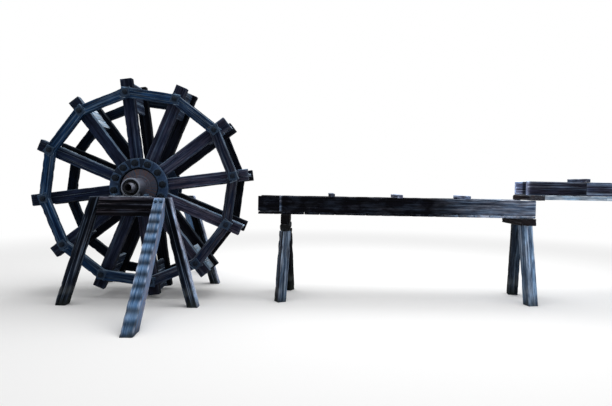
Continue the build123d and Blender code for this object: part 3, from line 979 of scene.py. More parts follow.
class Workshop:
    """Builds each node group and each finish once, and the dressed pieces."""

    SHARP = math.radians(40)        # edges steeper than this stay sharp

    def __init__(self) -> None:
        """Starts with the group that stains the feet of posts."""
        self.stain = foot_stain()
        self.groups: dict[str, bpy.types.NodeTree] = {}
        self.made: dict[str, bpy.types.Material] = {}

    def group(self, build: Callable[[], bpy.types.NodeTree]) -> bpy.types.NodeTree:
        """The node group of a finish.

        Args:
            build: What builds it.

        Returns:
            The group, built once.
        """
        if build.__name__ not in self.groups:
            self.groups[build.__name__] = build()
        return self.groups[build.__name__]

    def finish(self, finish: Finish) -> bpy.types.Material:
        """The material of a finish.

        Args:
            finish: Its colours and weathering.

        Returns:
            The material, built once.
        """
        if finish.name in self.made:
            return self.made[finish.name]
        material, sheet, shader = surfaced(finish.name)
        inputs = finish.inputs()
        for name in finish.READS:
            node = sheet.add("ShaderNodeAttribute", {}, attribute_name=name)
            inputs[name.capitalize()] = node.outputs["Vector" if name == "grain" else "Fac"]
        tree = self.group(type(finish).GROUP)
        given = sheet.add("ShaderNodeGroup", inputs, node_tree=tree).outputs
        colour = given["Color"]
        if getattr(finish, "stained", False):
            place = sheet.add("ShaderNodeTexCoord", {}).outputs["Object"]
            colour = sheet.add("ShaderNodeGroup", {"Color": colour, "Place": place},
                               node_tree=self.stain).outputs["Color"]
        strength, distance = finish.RELIEF
        bump = sheet.add("ShaderNodeBump", {"Height": given["Height"], "Strength": strength,
                                            "Distance": distance}).outputs[0]
        sheet.wire(shader, {"Base Color": colour, "Roughness": given["Roughness"],
                            "Specular IOR Level": finish.SPECULAR, "Normal": bump})
        if "Metallic" in given:
            sheet.wire(shader, {"Metallic": given["Metallic"]})
        self.made[finish.name] = material
        return material

    def mesh(self, name: str, skin: Skin) -> bpy.types.Mesh:
        """A skin as a mesh that carries its values.

        Args:
            name: Of the mesh.
            skin: The skin.

        Returns:
            The mesh, smooth but for its sharp edges.
        """
        mesh = bpy.data.meshes.new(name)
        quads, tris = len(skin.quads), len(skin.tris)
        corners = np.concatenate([skin.quads.ravel(), skin.tris.ravel()])
        starts = np.concatenate([np.arange(quads) * 4, quads * 4 + np.arange(tris) * 3])
        mesh.vertices.add(len(skin.points))
        mesh.vertices.foreach_set("co", skin.points.astype(np.float32).ravel())
        mesh.loops.add(len(corners))
        mesh.loops.foreach_set("vertex_index", corners.astype(np.int32))
        mesh.polygons.add(len(starts))
        mesh.polygons.foreach_set("loop_start", starts.astype(np.int32))
        mesh.update(calc_edges=True)
        for value in VALUES:
            attribute = mesh.attributes.new(value, "FLOAT", "POINT")
            attribute.data.foreach_set("value", skin.values[value].astype(np.float32))
        grain = mesh.attributes.new("grain", "FLOAT_VECTOR", "POINT")
        grain.data.foreach_set("vector", skin.values["grain"].astype(np.float32).ravel())
        mesh.validate()
        mesh.shade_smooth()
        mesh.set_sharp_from_angle(angle=self.SHARP)
        return mesh

    def piece(self, name: str, skins: list[Skin], finish: Finish, body: Body, slot: Slot,
              node: str) -> None:
        """Adds one piece of the object.

        Args:
            name: Of the piece.
            skins: Its surfaces.
            finish: Its finish.
            body: The body that it rides on.
            slot: The record's slot of its finish; not used.
            node: The node of the frame that it stands for.
        """
        skin = joined(skins)
        # sky: how far each face looks up at rest; the finishes paint silvering and painted sky
        # light from it.
        mesh = self.mesh(name, skin.toned(sky=skyward(skin)))
        mesh.materials.append(self.finish(finish))
        piece = shown(name, mesh)
        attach(piece, body.value)
        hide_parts(node)
        LOG.info("%s: %d points, %d faces", name, len(mesh.vertices), len(mesh.polygons))


@dataclass
class Assembly:
    """A sub-assembly whose pieces all ride on one body."""

    shop: Workshop
    BODY: ClassVar[Body] = Body.STAND

    def piece(self, name: str, skins: list[Skin], finish: Finish, slot: Slot, node: str) -> None:
        """Adds one piece in place of a node, on the body of the sub-assembly."""
        self.shop.piece(name, skins, finish, self.BODY, slot, node)


def on_wheel(radius: np.ndarray, across: np.ndarray, depth: np.ndarray,
             angle: float) -> np.ndarray:
    """Points from wheel coordinates.

    x = axle + radius cos(angle) - across sin(angle), z = axle + radius sin(angle) +
    across cos(angle), y = depth.

    Args:
        radius: From the axle along the direction of the angle.
        across: At right angles to it in the plane of the wheel.
        depth: Along the axle.
        angle: Above +X.

    Returns:
        The points.
    """
    x = radius * math.cos(angle) - across * math.sin(angle)
    z = radius * math.sin(angle) + across * math.cos(angle)
    return np.stack([x, depth + 0 * x, z], -1) + AXLE


@dataclass
class WaterWheel(Assembly):
    """The two stars of spokes, the rims of lapped bars and the paddles."""

    tip: float = 1.400
    spoke_width: float = 0.150
    spoke_thick: float = 0.100
    spoke_root: float = 0.246
    rim_radius: float = 1.213
    rim_depth: float = 0.128
    rim_thick: float = 0.075
    overrun: float = 0.064
    shoulder_at: float = 0.25
    shoulder_ramp: float = 0.001
    paddle_length: float = 0.515
    paddle_play: float = 0.001
    paddle_thick: float = 0.040
    paddle_inner: float = 1.000
    paddle_outer: float = 1.385
    planks: int = 3
    plank_gap: float = 0.003
    plank_tones: Pair = (0.85, 1.25)
    rim_bolt_sizes: Pair = (0.104, 0.056)
    rim_bolt_tones: Pair = (1.0, 0.25)
    washer_thick: float = 0.010
    back_shade: float = 0.22
    spoke_wear: Surface = Surface(check_width=0.0035, chips=0.007)
    rim_wear: Surface = Surface(check_width=0.0035, chips=0.008)
    plank_wear: Surface = Surface(edge=0.005, checks=1, grid=0.014)
    BODY: ClassVar[Body] = Body.WHEEL

    @property
    def spoke_in(self) -> float:
        """The inner face of the spokes from the middle of the wheel."""
        return self.paddle_length / 2 + SEAT

    @property
    def spoke_out(self) -> float:
        """The outer face of the spokes."""
        return self.spoke_in + self.spoke_thick

    @property
    def rim_in(self) -> float:
        """The inner face of the rims."""
        return self.spoke_out + SEAT

    def angles(self) -> list[float]:
        """The angle of every spoke above +X."""
        return [FIRST_SPOKE + STEP * number for number in range(SPOKES)]

    def spoke(self, angle: float, side: Side, seed: int) -> Skin:
        """One spoke; near the axle its half width is r tan(15 degrees).

        Args:
            angle: Above +X.
            side: Of the wheel.
            seed: Seed of its irregularities.

        Returns:
            The skin.
        """
        depth = side.value * (self.spoke_in + self.spoke_thick / 2)

        def rule(points: np.ndarray) -> np.ndarray:
            """Narrows the root and lays the spoke along its angle.

            Args:
                points: The straight timber's.

            Returns:
                The laid ones.
            """
            radius = points[:, 0] + self.spoke_root
            fit = (radius * math.tan(STEP / 2) - SEAT) / (self.spoke_width / 2)
            across = points[:, 1] * np.minimum(1.0, fit)
            return on_wheel(radius, across, depth + points[:, 2], angle)
        return timber(self.tip - self.spoke_root, self.spoke_width, self.spoke_thick,
                      self.spoke_wear, seed).laid(rule)

    def rim_bar(self, angle: float, side: Side, kept_outside: bool, seed: int) -> Skin:
        """One bar of a rim, halved where its neighbours lap it.

        The shoulder of a lap lies where the neighbour's inner edge or square end crosses
        the bar: at d across it, max(a - 1.732 d, b + 0.577 d) from its middle.

        Args:
            angle: Of its middle above +X.
            side: Of the wheel.
            kept_outside: Keeps its outer half at the laps.
            seed: Seed of its irregularities.

        Returns:
            The skin.
        """
        crossing = self.rim_radius * math.sin(STEP / 2)
        apothem = self.rim_radius * math.cos(STEP / 2)
        reach = crossing + self.overrun
        half = self.rim_thick / 2
        middle = self.rim_in + half
        outward = 1 if kept_outside else -1
        at, ramp = self.shoulder_at, self.shoulder_ramp
        stops = tuple(reach + sign * (at + small) for sign in (-1, 1) for small in (-ramp, ramp))

        def rule(points: np.ndarray) -> np.ndarray:
            """Moves the shoulders to their slanted lines, halves the laps and lays the bar.

            Args:
                points: The straight timber's.

            Returns:
                The laid ones.
            """
            along, across, through = points[:, 0] - reach, points[:, 1], points[:, 2]
            edge = crossing - self.rim_depth - math.sqrt(3) * across
            square = crossing - self.overrun / math.cos(STEP) + across * math.tan(STEP)
            shoulder = np.maximum(edge, square) - SEAT
            far = np.abs(along)
            inner = far / at * shoulder
            outer = reach - (reach - far) / (reach - at) * (reach - shoulder)
            placed = np.where(far < at, inner, outer) * np.sign(along)
            share = np.clip((far - at + ramp) / (2 * ramp), 0, 1)
            lapped = outward * (SEAT + (outward * through + half) * (half - SEAT) / (2 * half))
            through = through * (1 - share) + lapped * share
            return on_wheel(apothem + across, placed, side.value * (middle + through), angle)
        return timber(2 * reach, self.rim_depth, self.rim_thick, self.rim_wear, seed,
                      stops).laid(rule)

    def paddle(self, angle: float, seed: int) -> list[Skin]:
        """The planks of one paddle.

        Args:
            angle: Above +X.
            seed: Seed of its irregularities.

        Returns:
            One skin for each plank.
        """
        pitch = (self.paddle_outer - self.paddle_inner) / self.planks
        skins = []
        for number in range(self.planks):
            centre = self.paddle_inner + pitch * (number + 0.5)
            chance = np.random.default_rng(seed + 50 + number)

            def rule(points: np.ndarray) -> np.ndarray:
                """Lays the plank from rim to rim."""
                depth = points[:, 0] - self.paddle_length / 2
                return on_wheel(centre + points[:, 1], points[:, 2], depth, angle)
            plank = timber(self.paddle_length - self.paddle_play, pitch - self.plank_gap,
                           self.paddle_thick, self.plank_wear, seed + number)
            skins.append(plank.laid(rule).toned(tone=chance.uniform(*self.plank_tones),
                                                warm=chance.uniform(0, 0.6), damp=0.12))
        return skins

    def bolt(self, angle: float, radius: float, face: float, sizes: Pair, side: Side,
             tones: Pair, seed: int) -> list[Skin]:
        """A square washer with its nut.

        Args:
            angle: Above +X.
            radius: From the axle.
            face: That the washer lies on, from the middle of the wheel.
            sizes: Width of the washer, and across the flats of the nut.
            side: Of the wheel.
            tones: How light the washer and the nut are.
            seed: Seed of its turn and place in the noise.

        Returns:
            The two skins.
        """
        washer, flats = sizes
        turn = np.random.default_rng(seed).uniform(0, math.pi)

        def rule(points: np.ndarray, start: float, spin: float) -> np.ndarray:
            """Spins a piece on its own axis and seats it.

            Args:
                points: Of the upright piece.
                start: Of its seat, from the middle of the wheel.
                spin: In radians.

            Returns:
                The seated points.
            """
            x = points[:, 0] * math.cos(spin) - points[:, 1] * math.sin(spin)
            y = points[:, 0] * math.sin(spin) + points[:, 1] * math.cos(spin)
            return on_wheel(radius + x, y, side.value * (start + points[:, 2]), angle)
        plate = slab(washer, self.washer_thick, seed)
        head = nut(flats, seed + 1)
        top = face + self.washer_thick
        return [
            plate.laid(lambda points: rule(points, face, 0.0)).toned(tone=tones[0]),
            head.laid(lambda points: rule(points, top, turn)).toned(
                tone=tones[1], wear=head.values["wear"] * 0.2),
        ]

    def star(self, side: Side, seed: int) -> None:
        """Adds the spokes, the rim and the rim bolts of one side.

        Args:
            side: Of the wheel.
            seed: First seed of its irregularities.
        """
        spokes, rim, bolts = [], [], []
        far = self.back_shade if side is Side.BACK else 1.0
        for number, angle in enumerate(self.angles()):
            chance = np.random.default_rng(seed + 500 + number)
            # Painted light: spokes that point to the right made lighter.
            light = 0.78 + 0.80 * max(0.0, math.cos(angle)) ** 2 + 0.12 * chance.uniform(-1, 1)
            spoke = self.spoke(angle, side, seed + 10 * number)
            reach = np.linalg.norm((spoke.points - AXLE)[:, [0, 2]], axis=1)
            spokes.append(spoke.toned(tone=light * far, warm=0.4 + 0.4 * math.cos(angle + 0.5),
                                      damp=0.35 * smooth(reach, 0.7, self.tip)))
            middle = angle + STEP / 2
            bar = self.rim_bar(middle, side, number % 2 == 0, seed + 200 + 10 * number)
            rim.append(bar.toned(tone=far * (0.90 + 0.15 * chance.uniform(-1, 1)),
                                 warm=smooth(math.cos(middle + 0.35), 0.0, 0.9), damp=0.12))
            bolts += self.bolt(angle, self.rim_radius, self.rim_in + self.rim_thick + SEAT,
                               self.rim_bolt_sizes, side, self.rim_bolt_tones,
                               seed + 400 + 3 * number)
        name = side.word
        self.piece(f"{name}_spoke_timbers", spokes, SPOKE_WOOD, Slot.WHEEL_TIMBER,
                   f"{name}_spokes")
        self.piece(f"{name}_rim_bars", rim, RIM_WOOD, Slot.WHEEL_TIMBER, f"{name}_rim")
        self.piece(f"{name}_rim_nuts", bolts, PLATE_IRON, Slot.BOLT_STEEL, f"{name}_rim_bolts")

    def build(self) -> None:
        """Adds the wheel's timbers and rim bolts."""
        self.star(Side.FRONT, 1000)
        self.star(Side.BACK, 2000)
        planks = []
        for number, angle in enumerate(self.angles()):
            planks += self.paddle(angle, 3000 + 100 * number)
        self.piece("paddle_planks", planks, PADDLE_WOOD, Slot.WHEEL_TIMBER, "paddles")


@dataclass
class Hub(Assembly):
    """The drum, its plates, clamp rings and end discs, and the hollow axle."""

    wheel: WaterWheel
    drum: float = 0.232
    drum_wall: float = 0.020
    flange: float = 0.375
    flange_thick: float = 0.020
    ring_thick: float = 0.040
    ring_inner: float = 0.248
    disc_thick: float = 0.018
    collar: float = 0.150
    collar_length: float = 0.022
    boss: float = 0.118
    boss_length: float = 0.080
    axle: float = 0.060
    axle_wall: float = 0.018
    axle_length: float = 1.620
    journal: float = 0.057
    journal_length: float = 0.060
    bolt_circle: float = 0.312
    bolt_sizes: Pair = (0.112, 0.080)
    bolt_tones: Pair = (2.4, 0.2)
    BODY: ClassVar[Body] = Body.WHEEL

    def many_sided(self, skin: Skin) -> Skin:
        """Cuts the outer edge of a ring to twelve straight sides with a corner at each spoke.

        At the angle t from a corner the edge stands at R cos(15) / cos(t mod 30 - 15).

        Args:
            skin: The turned ring.

        Returns:
            The cut ring.
        """
        def rule(points: np.ndarray) -> np.ndarray:
            """Draws the outer points in to the straight sides.

            Args:
                points: The ring's.

            Returns:
                The moved ones.
            """
            flat = points - AXLE
            radius = np.hypot(flat[:, 0], flat[:, 2])
            angle = (np.arctan2(flat[:, 2], flat[:, 0]) - FIRST_SPOKE) % STEP - STEP / 2
            fit = math.cos(STEP / 2) / np.cos(angle)
            fit = np.where(radius > self.flange * 0.9, fit, 1.0)[:, None]
            return np.where([True, False, True], flat * fit, flat) + AXLE
        return skin.laid(rule)

    def backing_plate(self, side: Side) -> Skin:
        """The plate behind the roots of the spokes.

        Args:
            side: Of the wheel.

        Returns:
            The skin.
        """
        inside, face = self.drum + SEAT, self.wheel.spoke_in - SEAT
        back = face - self.flange_thick
        return self.many_sided(turned(side.outline(
            (self.flange, face), (inside, face), (inside, back), (self.flange, back)), 0.003, 192))

    def clamp_ring(self, side: Side, start: float) -> Skin:
        """The ring that clamps the roots of the spokes, with painted light at the right and lower
        left.

        Args:
            side: Of the wheel.
            start: Its inner face, from the middle of the wheel.

        Returns:
            The skin.
        """
        end = start + self.ring_thick
        ring = turned(side.outline((self.ring_inner, start), (self.flange, start),
                                   (self.flange, end), (self.ring_inner, end)), 0.007)
        place = ring.points - AXLE
        right = smooth(place[:, 0], 0.05, 0.30)
        low_left = smooth(-0.9 * place[:, 0] - 0.45 * place[:, 2], 0.20, 0.30)
        return ring.toned(tone=0.55 + 1.7 * right + 1.6 * low_left)

    def end_disc(self, side: Side) -> Skin:
        """The disc that closes the drum, with its collar and boss.

        Args:
            side: Of the wheel.

        Returns:
            The skin.
        """
        bore, face = self.axle + SEAT, self.wheel.spoke_out
        out = face + self.disc_thick
        collar, boss = out + self.collar_length, out + self.boss_length
        return turned(side.outline((bore, face), (self.drum, face), (self.drum, out),
                                   (self.collar, out), (self.collar, collar),
                                   (self.boss, collar), (self.boss, boss), (bore, boss)), 0.005)

    def pipe(self) -> Skin:
        """The hollow axle, with painted shade in its mouths but for a painted highlight on a
        crescent.

        Returns:
            The skin.
        """
        half = self.axle_length / 2
        step = half - self.journal_length
        ends = [(self.axle - self.axle_wall, half), (self.journal, half), (self.journal, step),
                (self.axle, step)]
        pipe = turned([(radius, -depth) for radius, depth in ends] + ends[::-1], 0.003, 96)
        place = pipe.points - AXLE
        mouth = smooth(np.abs(place[:, 1]), half - 0.006, half - 0.002)
        crescent = smooth(np.cos(np.arctan2(place[:, 2], place[:, 0]) - 0.5), 0.5, 0.95)
        # Painted shade in the mouths and a painted highlight on the crescent, which also goes in as
        # wear.
        return pipe.toned(tone=1.0 - 0.85 * mouth + 1.6 * mouth * crescent, wear=0.8 * crescent)

    def build(self) -> None:
        """Adds the hub and the axle."""
        wheel = self.wheel
        start = wheel.spoke_out + SEAT
        for side in Side:
            name = side.word
            self.piece(f"{name}_backing_plate", [self.backing_plate(side)], PLATE_IRON,
                       Slot.DARK_STEEL, f"{name}_hub_plate")
            self.piece(f"{name}_clamp_ring", [self.clamp_ring(side, start)], RING_IRON,
                       Slot.DARK_STEEL, f"{name}_hub_ring")
            self.piece(f"{name}_end_disc", [self.end_disc(side)], DISC_IRON, Slot.RUSTY_STEEL,
                       f"{name}_hub_disc")
            bolts = []
            for number, angle in enumerate(wheel.angles()):
                bolts += wheel.bolt(angle, self.bolt_circle, start + self.ring_thick + SEAT,
                                    self.bolt_sizes, side, self.bolt_tones,
                                    5000 + 100 * side.value + 3 * number)
            self.piece(f"{name}_hub_nuts", bolts, PLATE_IRON, Slot.BOLT_STEEL,
                       f"{name}_hub_bolts")
        end, hollow = wheel.spoke_out - SEAT, self.drum - self.drum_wall
        drum = turned([(self.drum, -end), (self.drum, end), (hollow, end), (hollow, -end)], 0.002)
        self.piece("drum_barrel", [drum], PLATE_IRON, Slot.RUSTY_STEEL, "hub_drum")
        self.piece("axle_pipe", [self.pipe()], AXLE_IRON, Slot.RUSTY_STEEL, "axle")


@dataclass
class Stand(Assembly):
    """The two side frames that carry the wheel, with their bearings."""

    beam_in: float = 0.6331
    beam_width: float = 0.150
    beam_top: float = 1.3137
    beam_heights: Triple = (0.078, 0.066, 0.086)
    beam_setbacks: Triple = (0.0, 0.0, 0.028)
    beam_tones: Triple = (0.85, 0.36, 0.60)
    leg_top: float = 0.420
    leg_foot: float = 0.795
    leg_width: float = 0.135
    leg_depth: float = 0.130
    leg_setback: float = 0.018
    leg_splay: float = 0.100
    brace_top: float = 0.372
    brace_foot: float = 0.433
    brace_reach: float = 1.368
    brace_width: float = 0.134
    brace_thick: float = 0.175
    hollows: int = 11
    hollow_start: float = 1.5
    hollow_radius: float = 0.130
    hollow_depth: float = 0.008
    brace_bolt_spacing: float = 0.062
    brace_bolt_down: float = 0.070
    brace_nut: float = 0.034
    housing: float = 0.116
    housing_wall: float = 0.016
    housing_in: float = 0.4658
    housing_length: float = 0.255
    bush_setback: float = 0.058
    bush_bore: float = 0.0605
    plate: Triple = (0.480, 0.146, 0.012)
    pedestal: float = 0.180
    plate_bolt_x: float = 0.190
    plate_bolt_y: float = 0.044
    plate_nut: float = 0.040
    beam_wear: Surface = Surface(edge=0.007, chips=0.007, dents=0.003)
    leg_wear: Surface = Surface(edge=0.009, checks=3, check_width=0.0032, check_depth=0.014,
                                chips=0.008, dents=0.003)
    brace_wear: Surface = Surface(edge=0.007, pitch=0.02, checks=1, check_width=0.0025)

    @property
    def beam_out(self) -> float:
        """The outer face of the beam."""
        return self.beam_in + self.beam_width

    @property
    def beam_middle(self) -> float:
        """The middle of the beam."""
        return self.beam_in + self.beam_width / 2

    @property
    def brace_slope(self) -> float:
        """The angle of the brace's top face below the level."""
        return math.atan2(self.beam_top, self.brace_reach)

    @property
    def brace_length(self) -> float:
        """The length of the brace's top face."""
        return math.hypot(self.brace_reach, self.beam_top)

    @property
    def hollow_pitch(self) -> float:
        """Distance between the hollows of the brace."""
        return self.brace_length / (self.hollows + self.hollow_start)

    def leg_x(self, height: float | np.ndarray) -> float | np.ndarray:
        """Distance of a leg's centre line from the axle at a height."""
        return self.leg_foot + (self.leg_top - self.leg_foot) * height / self.beam_top

    def beam(self, side: Side) -> list[Skin]:
        """The three stacked timbers of the beam, their ends cut to the slope of the legs.

        Args:
            side: Of the wheel.

        Returns:
            One skin for each timber, from the top down.
        """
        skins = []
        high = self.beam_top
        looks = zip(self.beam_heights, self.beam_setbacks, self.beam_tones)
        for number, (depth, setback, tone) in enumerate(looks):
            low = high - depth
            reach = [self.leg_x(level) - self.leg_width / 2 - SEAT for level in (low, high)]
            near, far = self.beam_in + setback, self.beam_out - setback
            corners = np.array([[[(end * reach[row], side.value * face, level)
                                  for row, level in enumerate((low, high))]
                                 for face in (far, near)] for end in (-1, 1)]) + UNDER_AXLE
            size = (2 * reach[0], far - near, depth)
            skin = timber(*size, self.beam_wear, 4000 + 10 * number + 100 * side.value)
            skin = between(skin, size, corners)
            # Painted light: each timber lighter along its top strip.
            top = smooth(skin.points[:, 2], high - 0.05, high - 0.01)
            skins.append(skin.toned(tone=tone * (0.35 + 1.05 * top)))
            high = low - SEAT
        return skins

    def leg(self, side: Side, end: int, seed: int) -> Skin:
        """One leg, from its level foot to its level top, with a strip of painted light down its
        outer edge.

        Args:
            side: Of the wheel.
            end: -1 for the left leg, 1 for the right, whose strip is pale.
            seed: Seed of its irregularities.

        Returns:
            The skin.
        """
        depth = side.value * (self.beam_middle - self.leg_setback)
        foot = (end * self.leg_foot, depth + side.value * self.leg_splay, 0.0)
        top = (end * self.leg_top, depth, self.beam_top)
        corners = np.array([[[(x + a * self.leg_width / 2, y + b * self.leg_depth / 2, z)
                              for b in (-1, 1)] for a in (-1, 1)]
                            for x, y, z in (foot, top)]) + UNDER_AXLE
        size = (math.dist(foot, top), self.leg_width, self.leg_depth)
        skin = between(timber(*size, self.leg_wear, seed), size, corners)
        outward = end * (skin.points[:, 0] - AXLE[0]) - self.leg_x(skin.points[:, 2])
        strip, pale = ((0.042, 0.060), 3.4) if end > 0 else ((0.054, 0.066), 0.05)
        lit = smooth(outward, *strip)
        low = smooth(-skin.points[:, 2], -0.9, -0.1)
        return skin.toned(tone=0.55 + pale * lit + 0.65 * low * (1 - lit), warm=lit)

    def hollow(self, distance: np.ndarray) -> np.ndarray:
        """Depth of the hollows of the brace.

        Each is a shallow arc of a circle, and each stands a pitch below the one before.

        Args:
            distance: Down the top face.

        Returns:
            The depth at each distance.
        """
        turns = distance / self.hollow_pitch
        away = (turns % 1 - 0.5) * self.hollow_pitch
        outside = (turns < 1) | (turns > self.hollows + 1)
        away = np.where(outside, self.hollow_pitch / 2, away)
        arc = np.sqrt(np.clip(self.hollow_radius ** 2 - away ** 2, 0, None))
        return np.clip(arc - (self.hollow_radius - self.hollow_depth), 0, None)

    def brace(self, side: Side) -> Skin:
        """The long brace, cut level at the ground, with painted shade in the hollows across its top
        face.

        Args:
            side: Of the wheel.

        Returns:
            The skin.
        """
        high = self.brace_thick / math.cos(self.brace_slope)
        face = self.beam_out + SEAT
        # Share of the way down and height of the lower and the upper edge, top end first.
        ends = (((0.0, self.beam_top - high), (0.0, self.beam_top)),
                ((1 - high / self.beam_top, 0.0), (1.0, 0.0)))
        corners = np.array([[[
            (self.brace_top + (self.brace_foot - self.brace_top) * part
             + a * self.brace_width / 2, side.value * (face + self.brace_reach * part), z)
            for part, z in edges] for a in (-1, 1)] for edges in ends]) + UNDER_AXLE
        size = (self.brace_length, self.brace_width, self.brace_thick)
        skin = timber(*size, self.brace_wear, 4300 + side.value)
        down, across, through = skin.points.T
        upper = smooth(through / (self.brace_thick / 2), 0.80, 0.96)
        depth = self.hollow(down) * upper
        cut = skin.laid(lambda points: points - np.stack([0 * depth, 0 * depth, depth], -1))
        # Painted shade in the hollows, weaker toward the foot.
        ridge = 0.5 + 0.5 * np.cos(2 * math.pi * down / self.hollow_pitch)
        ridge = np.where(down < self.hollow_pitch, 0.9, ridge)
        dark = 0.10 + 0.26 * down / self.brace_length
        beside = smooth(np.abs(across), self.brace_width / 2 - 0.006,
                        self.brace_width / 2 - 0.001)
        tone = (dark + (1.22 - dark) * ridge) * upper + 1.5 * (1 - upper)
        return between(cut, size, corners).toned(tone=tone, warm=beside)

    def housing_barrel(self, side: Side) -> Skin:
        """The round housing with its bush, with painted shade below and in its mouth, and a painted
        highlight on its lip.

        Args:
            side: Of the wheel.

        Returns:
            The skin.
        """
        start, end = self.housing_in, self.housing_in + self.housing_length
        inner, deep = self.housing - self.housing_wall, end - self.bush_setback
        barrel = turned(side.outline((inner, end), (self.housing, end), (self.housing, start),
                                     (self.bush_bore, start), (self.bush_bore, deep),
                                     (inner, deep)), 0.005)
        place = barrel.points - AXLE
        radius = np.hypot(place[:, 0], place[:, 2])
        lip = smooth(side.value * place[:, 1], end - 0.006, end - 0.002)
        inside = smooth(-radius, -inner - 0.002, -inner + 0.002)
        up = smooth(place[:, 2] / radius, -0.7, 0.6)
        # Painted highlight on the lip, fed in as wear; painted light on the upper side and painted
        # shade in the bore.
        return barrel.toned(wear=np.maximum(barrel.values["wear"], lip),
                            tone=(0.30 + 0.75 * up) * (1 - 0.92 * inside))

    def bearing(self, side: Side) -> list[Skin]:
        """The housing with its bush, base plate and pedestal.

        The pedestal's top follows the housing: z = -sqrt(r^2 - x^2) below the axle.

        Args:
            side: Of the wheel.

        Returns:
            The skins.
        """
        length, width, thick = self.plate
        floor = self.beam_top + SEAT
        left, right = AXLE[0] - length / 2, AXLE[0] + length / 2
        inner_face = self.beam_middle - width / 2
        y = side.span(self.beam_middle + width / 2, inner_face)
        base = squared((left, y[0], floor), (right, y[1], floor + thick), "xyz", CASTING, 4400)
        ends = smooth(np.abs(base.points[:, 0] - AXLE[0]), 0.36 * length, 0.46 * length)
        base = base.toned(wear=np.maximum(base.values["wear"], ends), tone=0.8)
        y = side.span(self.housing_in + self.housing_length, inner_face)
        seat = self.housing - self.housing_wall / 2
        tall = 0.10
        block = squared((-self.pedestal / 2, y[0], 0), (self.pedestal / 2, y[1], tall), "xyz",
                        PEDESTAL, 4410)

        def fitted(points: np.ndarray) -> np.ndarray:
            """Stretches the block from the plate up to the underside of the housing.

            Args:
                points: The block's, under the axle.

            Returns:
                The fitted ones.
            """
            under = AXLE[2] - np.sqrt(np.clip(seat ** 2 - points[:, 0] ** 2, 0, None))
            z = floor + points[:, 2] / tall * (under - floor)
            return np.stack([points[:, 0] + AXLE[0], points[:, 1], z], -1)
        return [self.housing_barrel(side), base.finer(9),
                block.laid(fitted).toned(tone=0.3).finer(9)]

    def bolts(self, side: Side) -> list[Skin]:
        """The heads that hold the base plate and the top of the brace.

        Args:
            side: Of the wheel.

        Returns:
            The skins.
        """
        skins = []
        top = self.beam_top + self.plate[2] + SEAT
        for number in range(4):
            x = AXLE[0] + self.plate_bolt_x * (1 if number % 2 else -1)
            y = side.value * self.beam_middle + self.plate_bolt_y * (1 if number > 1 else -1)
            head = nut(self.plate_nut, 4500 + number).laid(lambda points: points + (x, y, top))
            skins.append(head.toned(tone=1.6, wear=1.0))
        fall, level = math.sin(self.brace_slope), math.cos(self.brace_slope)

        def rule(points: np.ndarray) -> np.ndarray:
            """Seats a head on the sloping top face of the brace.

            Args:
                points: Of the upright head.

            Returns:
                The seated ones.
            """
            down = self.brace_bolt_down + points[:, 1]
            up = points[:, 2] + SEAT
            y = self.beam_out + down * level + up * fall
            z = self.beam_top - down * fall + up * level
            return np.stack([points[:, 0] + x, side.value * y, z], -1)
        for number in range(2):
            x = AXLE[0] + self.brace_top + self.brace_bolt_spacing * (number - 0.5)
            skins.append(nut(self.brace_nut, 4510 + number).laid(rule))
        return skins

    def build(self) -> None:
        """Adds both side frames."""
        for side in Side:
            name = side.word
            self.piece(f"{name}_beam_timbers", self.beam(side), BEAM_WOOD, Slot.STAND_TIMBER,
                       f"{name}_beam")
            for end, word in ((-1, "left"), (1, "right")):
                leg = self.leg(side, end, 4200 + 10 * end + 100 * side.value)
                self.piece(f"{name}_{word}_post", [leg], LEG_WOOD, Slot.STAND_TIMBER,
                           f"{name}_{word}_leg")
            self.piece(f"{name}_hollowed_brace", [self.brace(side)], BRACE_WOOD,
                       Slot.PALE_TIMBER, f"{name}_brace")
            self.piece(f"{name}_bearing", self.bearing(side), HOUSING_IRON, Slot.BEARING_IRON,
                       f"{name}_bearing_housing")
            self.piece(f"{name}_bolt_heads", self.bolts(side), PLATE_IRON, Slot.BOLT_STEEL,
                       f"{name}_stand_bolts")


@dataclass(frozen=True)
class FlumeSide:
    """What the side boards of a flume share."""

    outer: float                    # outer face from the middle plane
    thick: float
    low: float
    top: float
    wear: Surface

    def boards(self, side: Side, spans: tuple[Pair, ...], seed: int,
               shape: Rule | None = None) -> list[Skin]:
        """Boards on edge, end to end along the flume.

        Args:
            side: Of the flume.
            spans: Where each board starts and ends.
            seed: Seed of the first board's irregularities.
            shape: A rule for the straight points of the first board, or none.

        Returns:
            One skin for each board.
        """
        y = side.span(self.outer, self.outer - self.thick)
        return [squared((start, y[0], self.low), (end, y[1], self.top), "xzy", self.wear,
                        seed + 10 * number, None if number else shape)
                for number, (start, end) in enumerate(spans)]


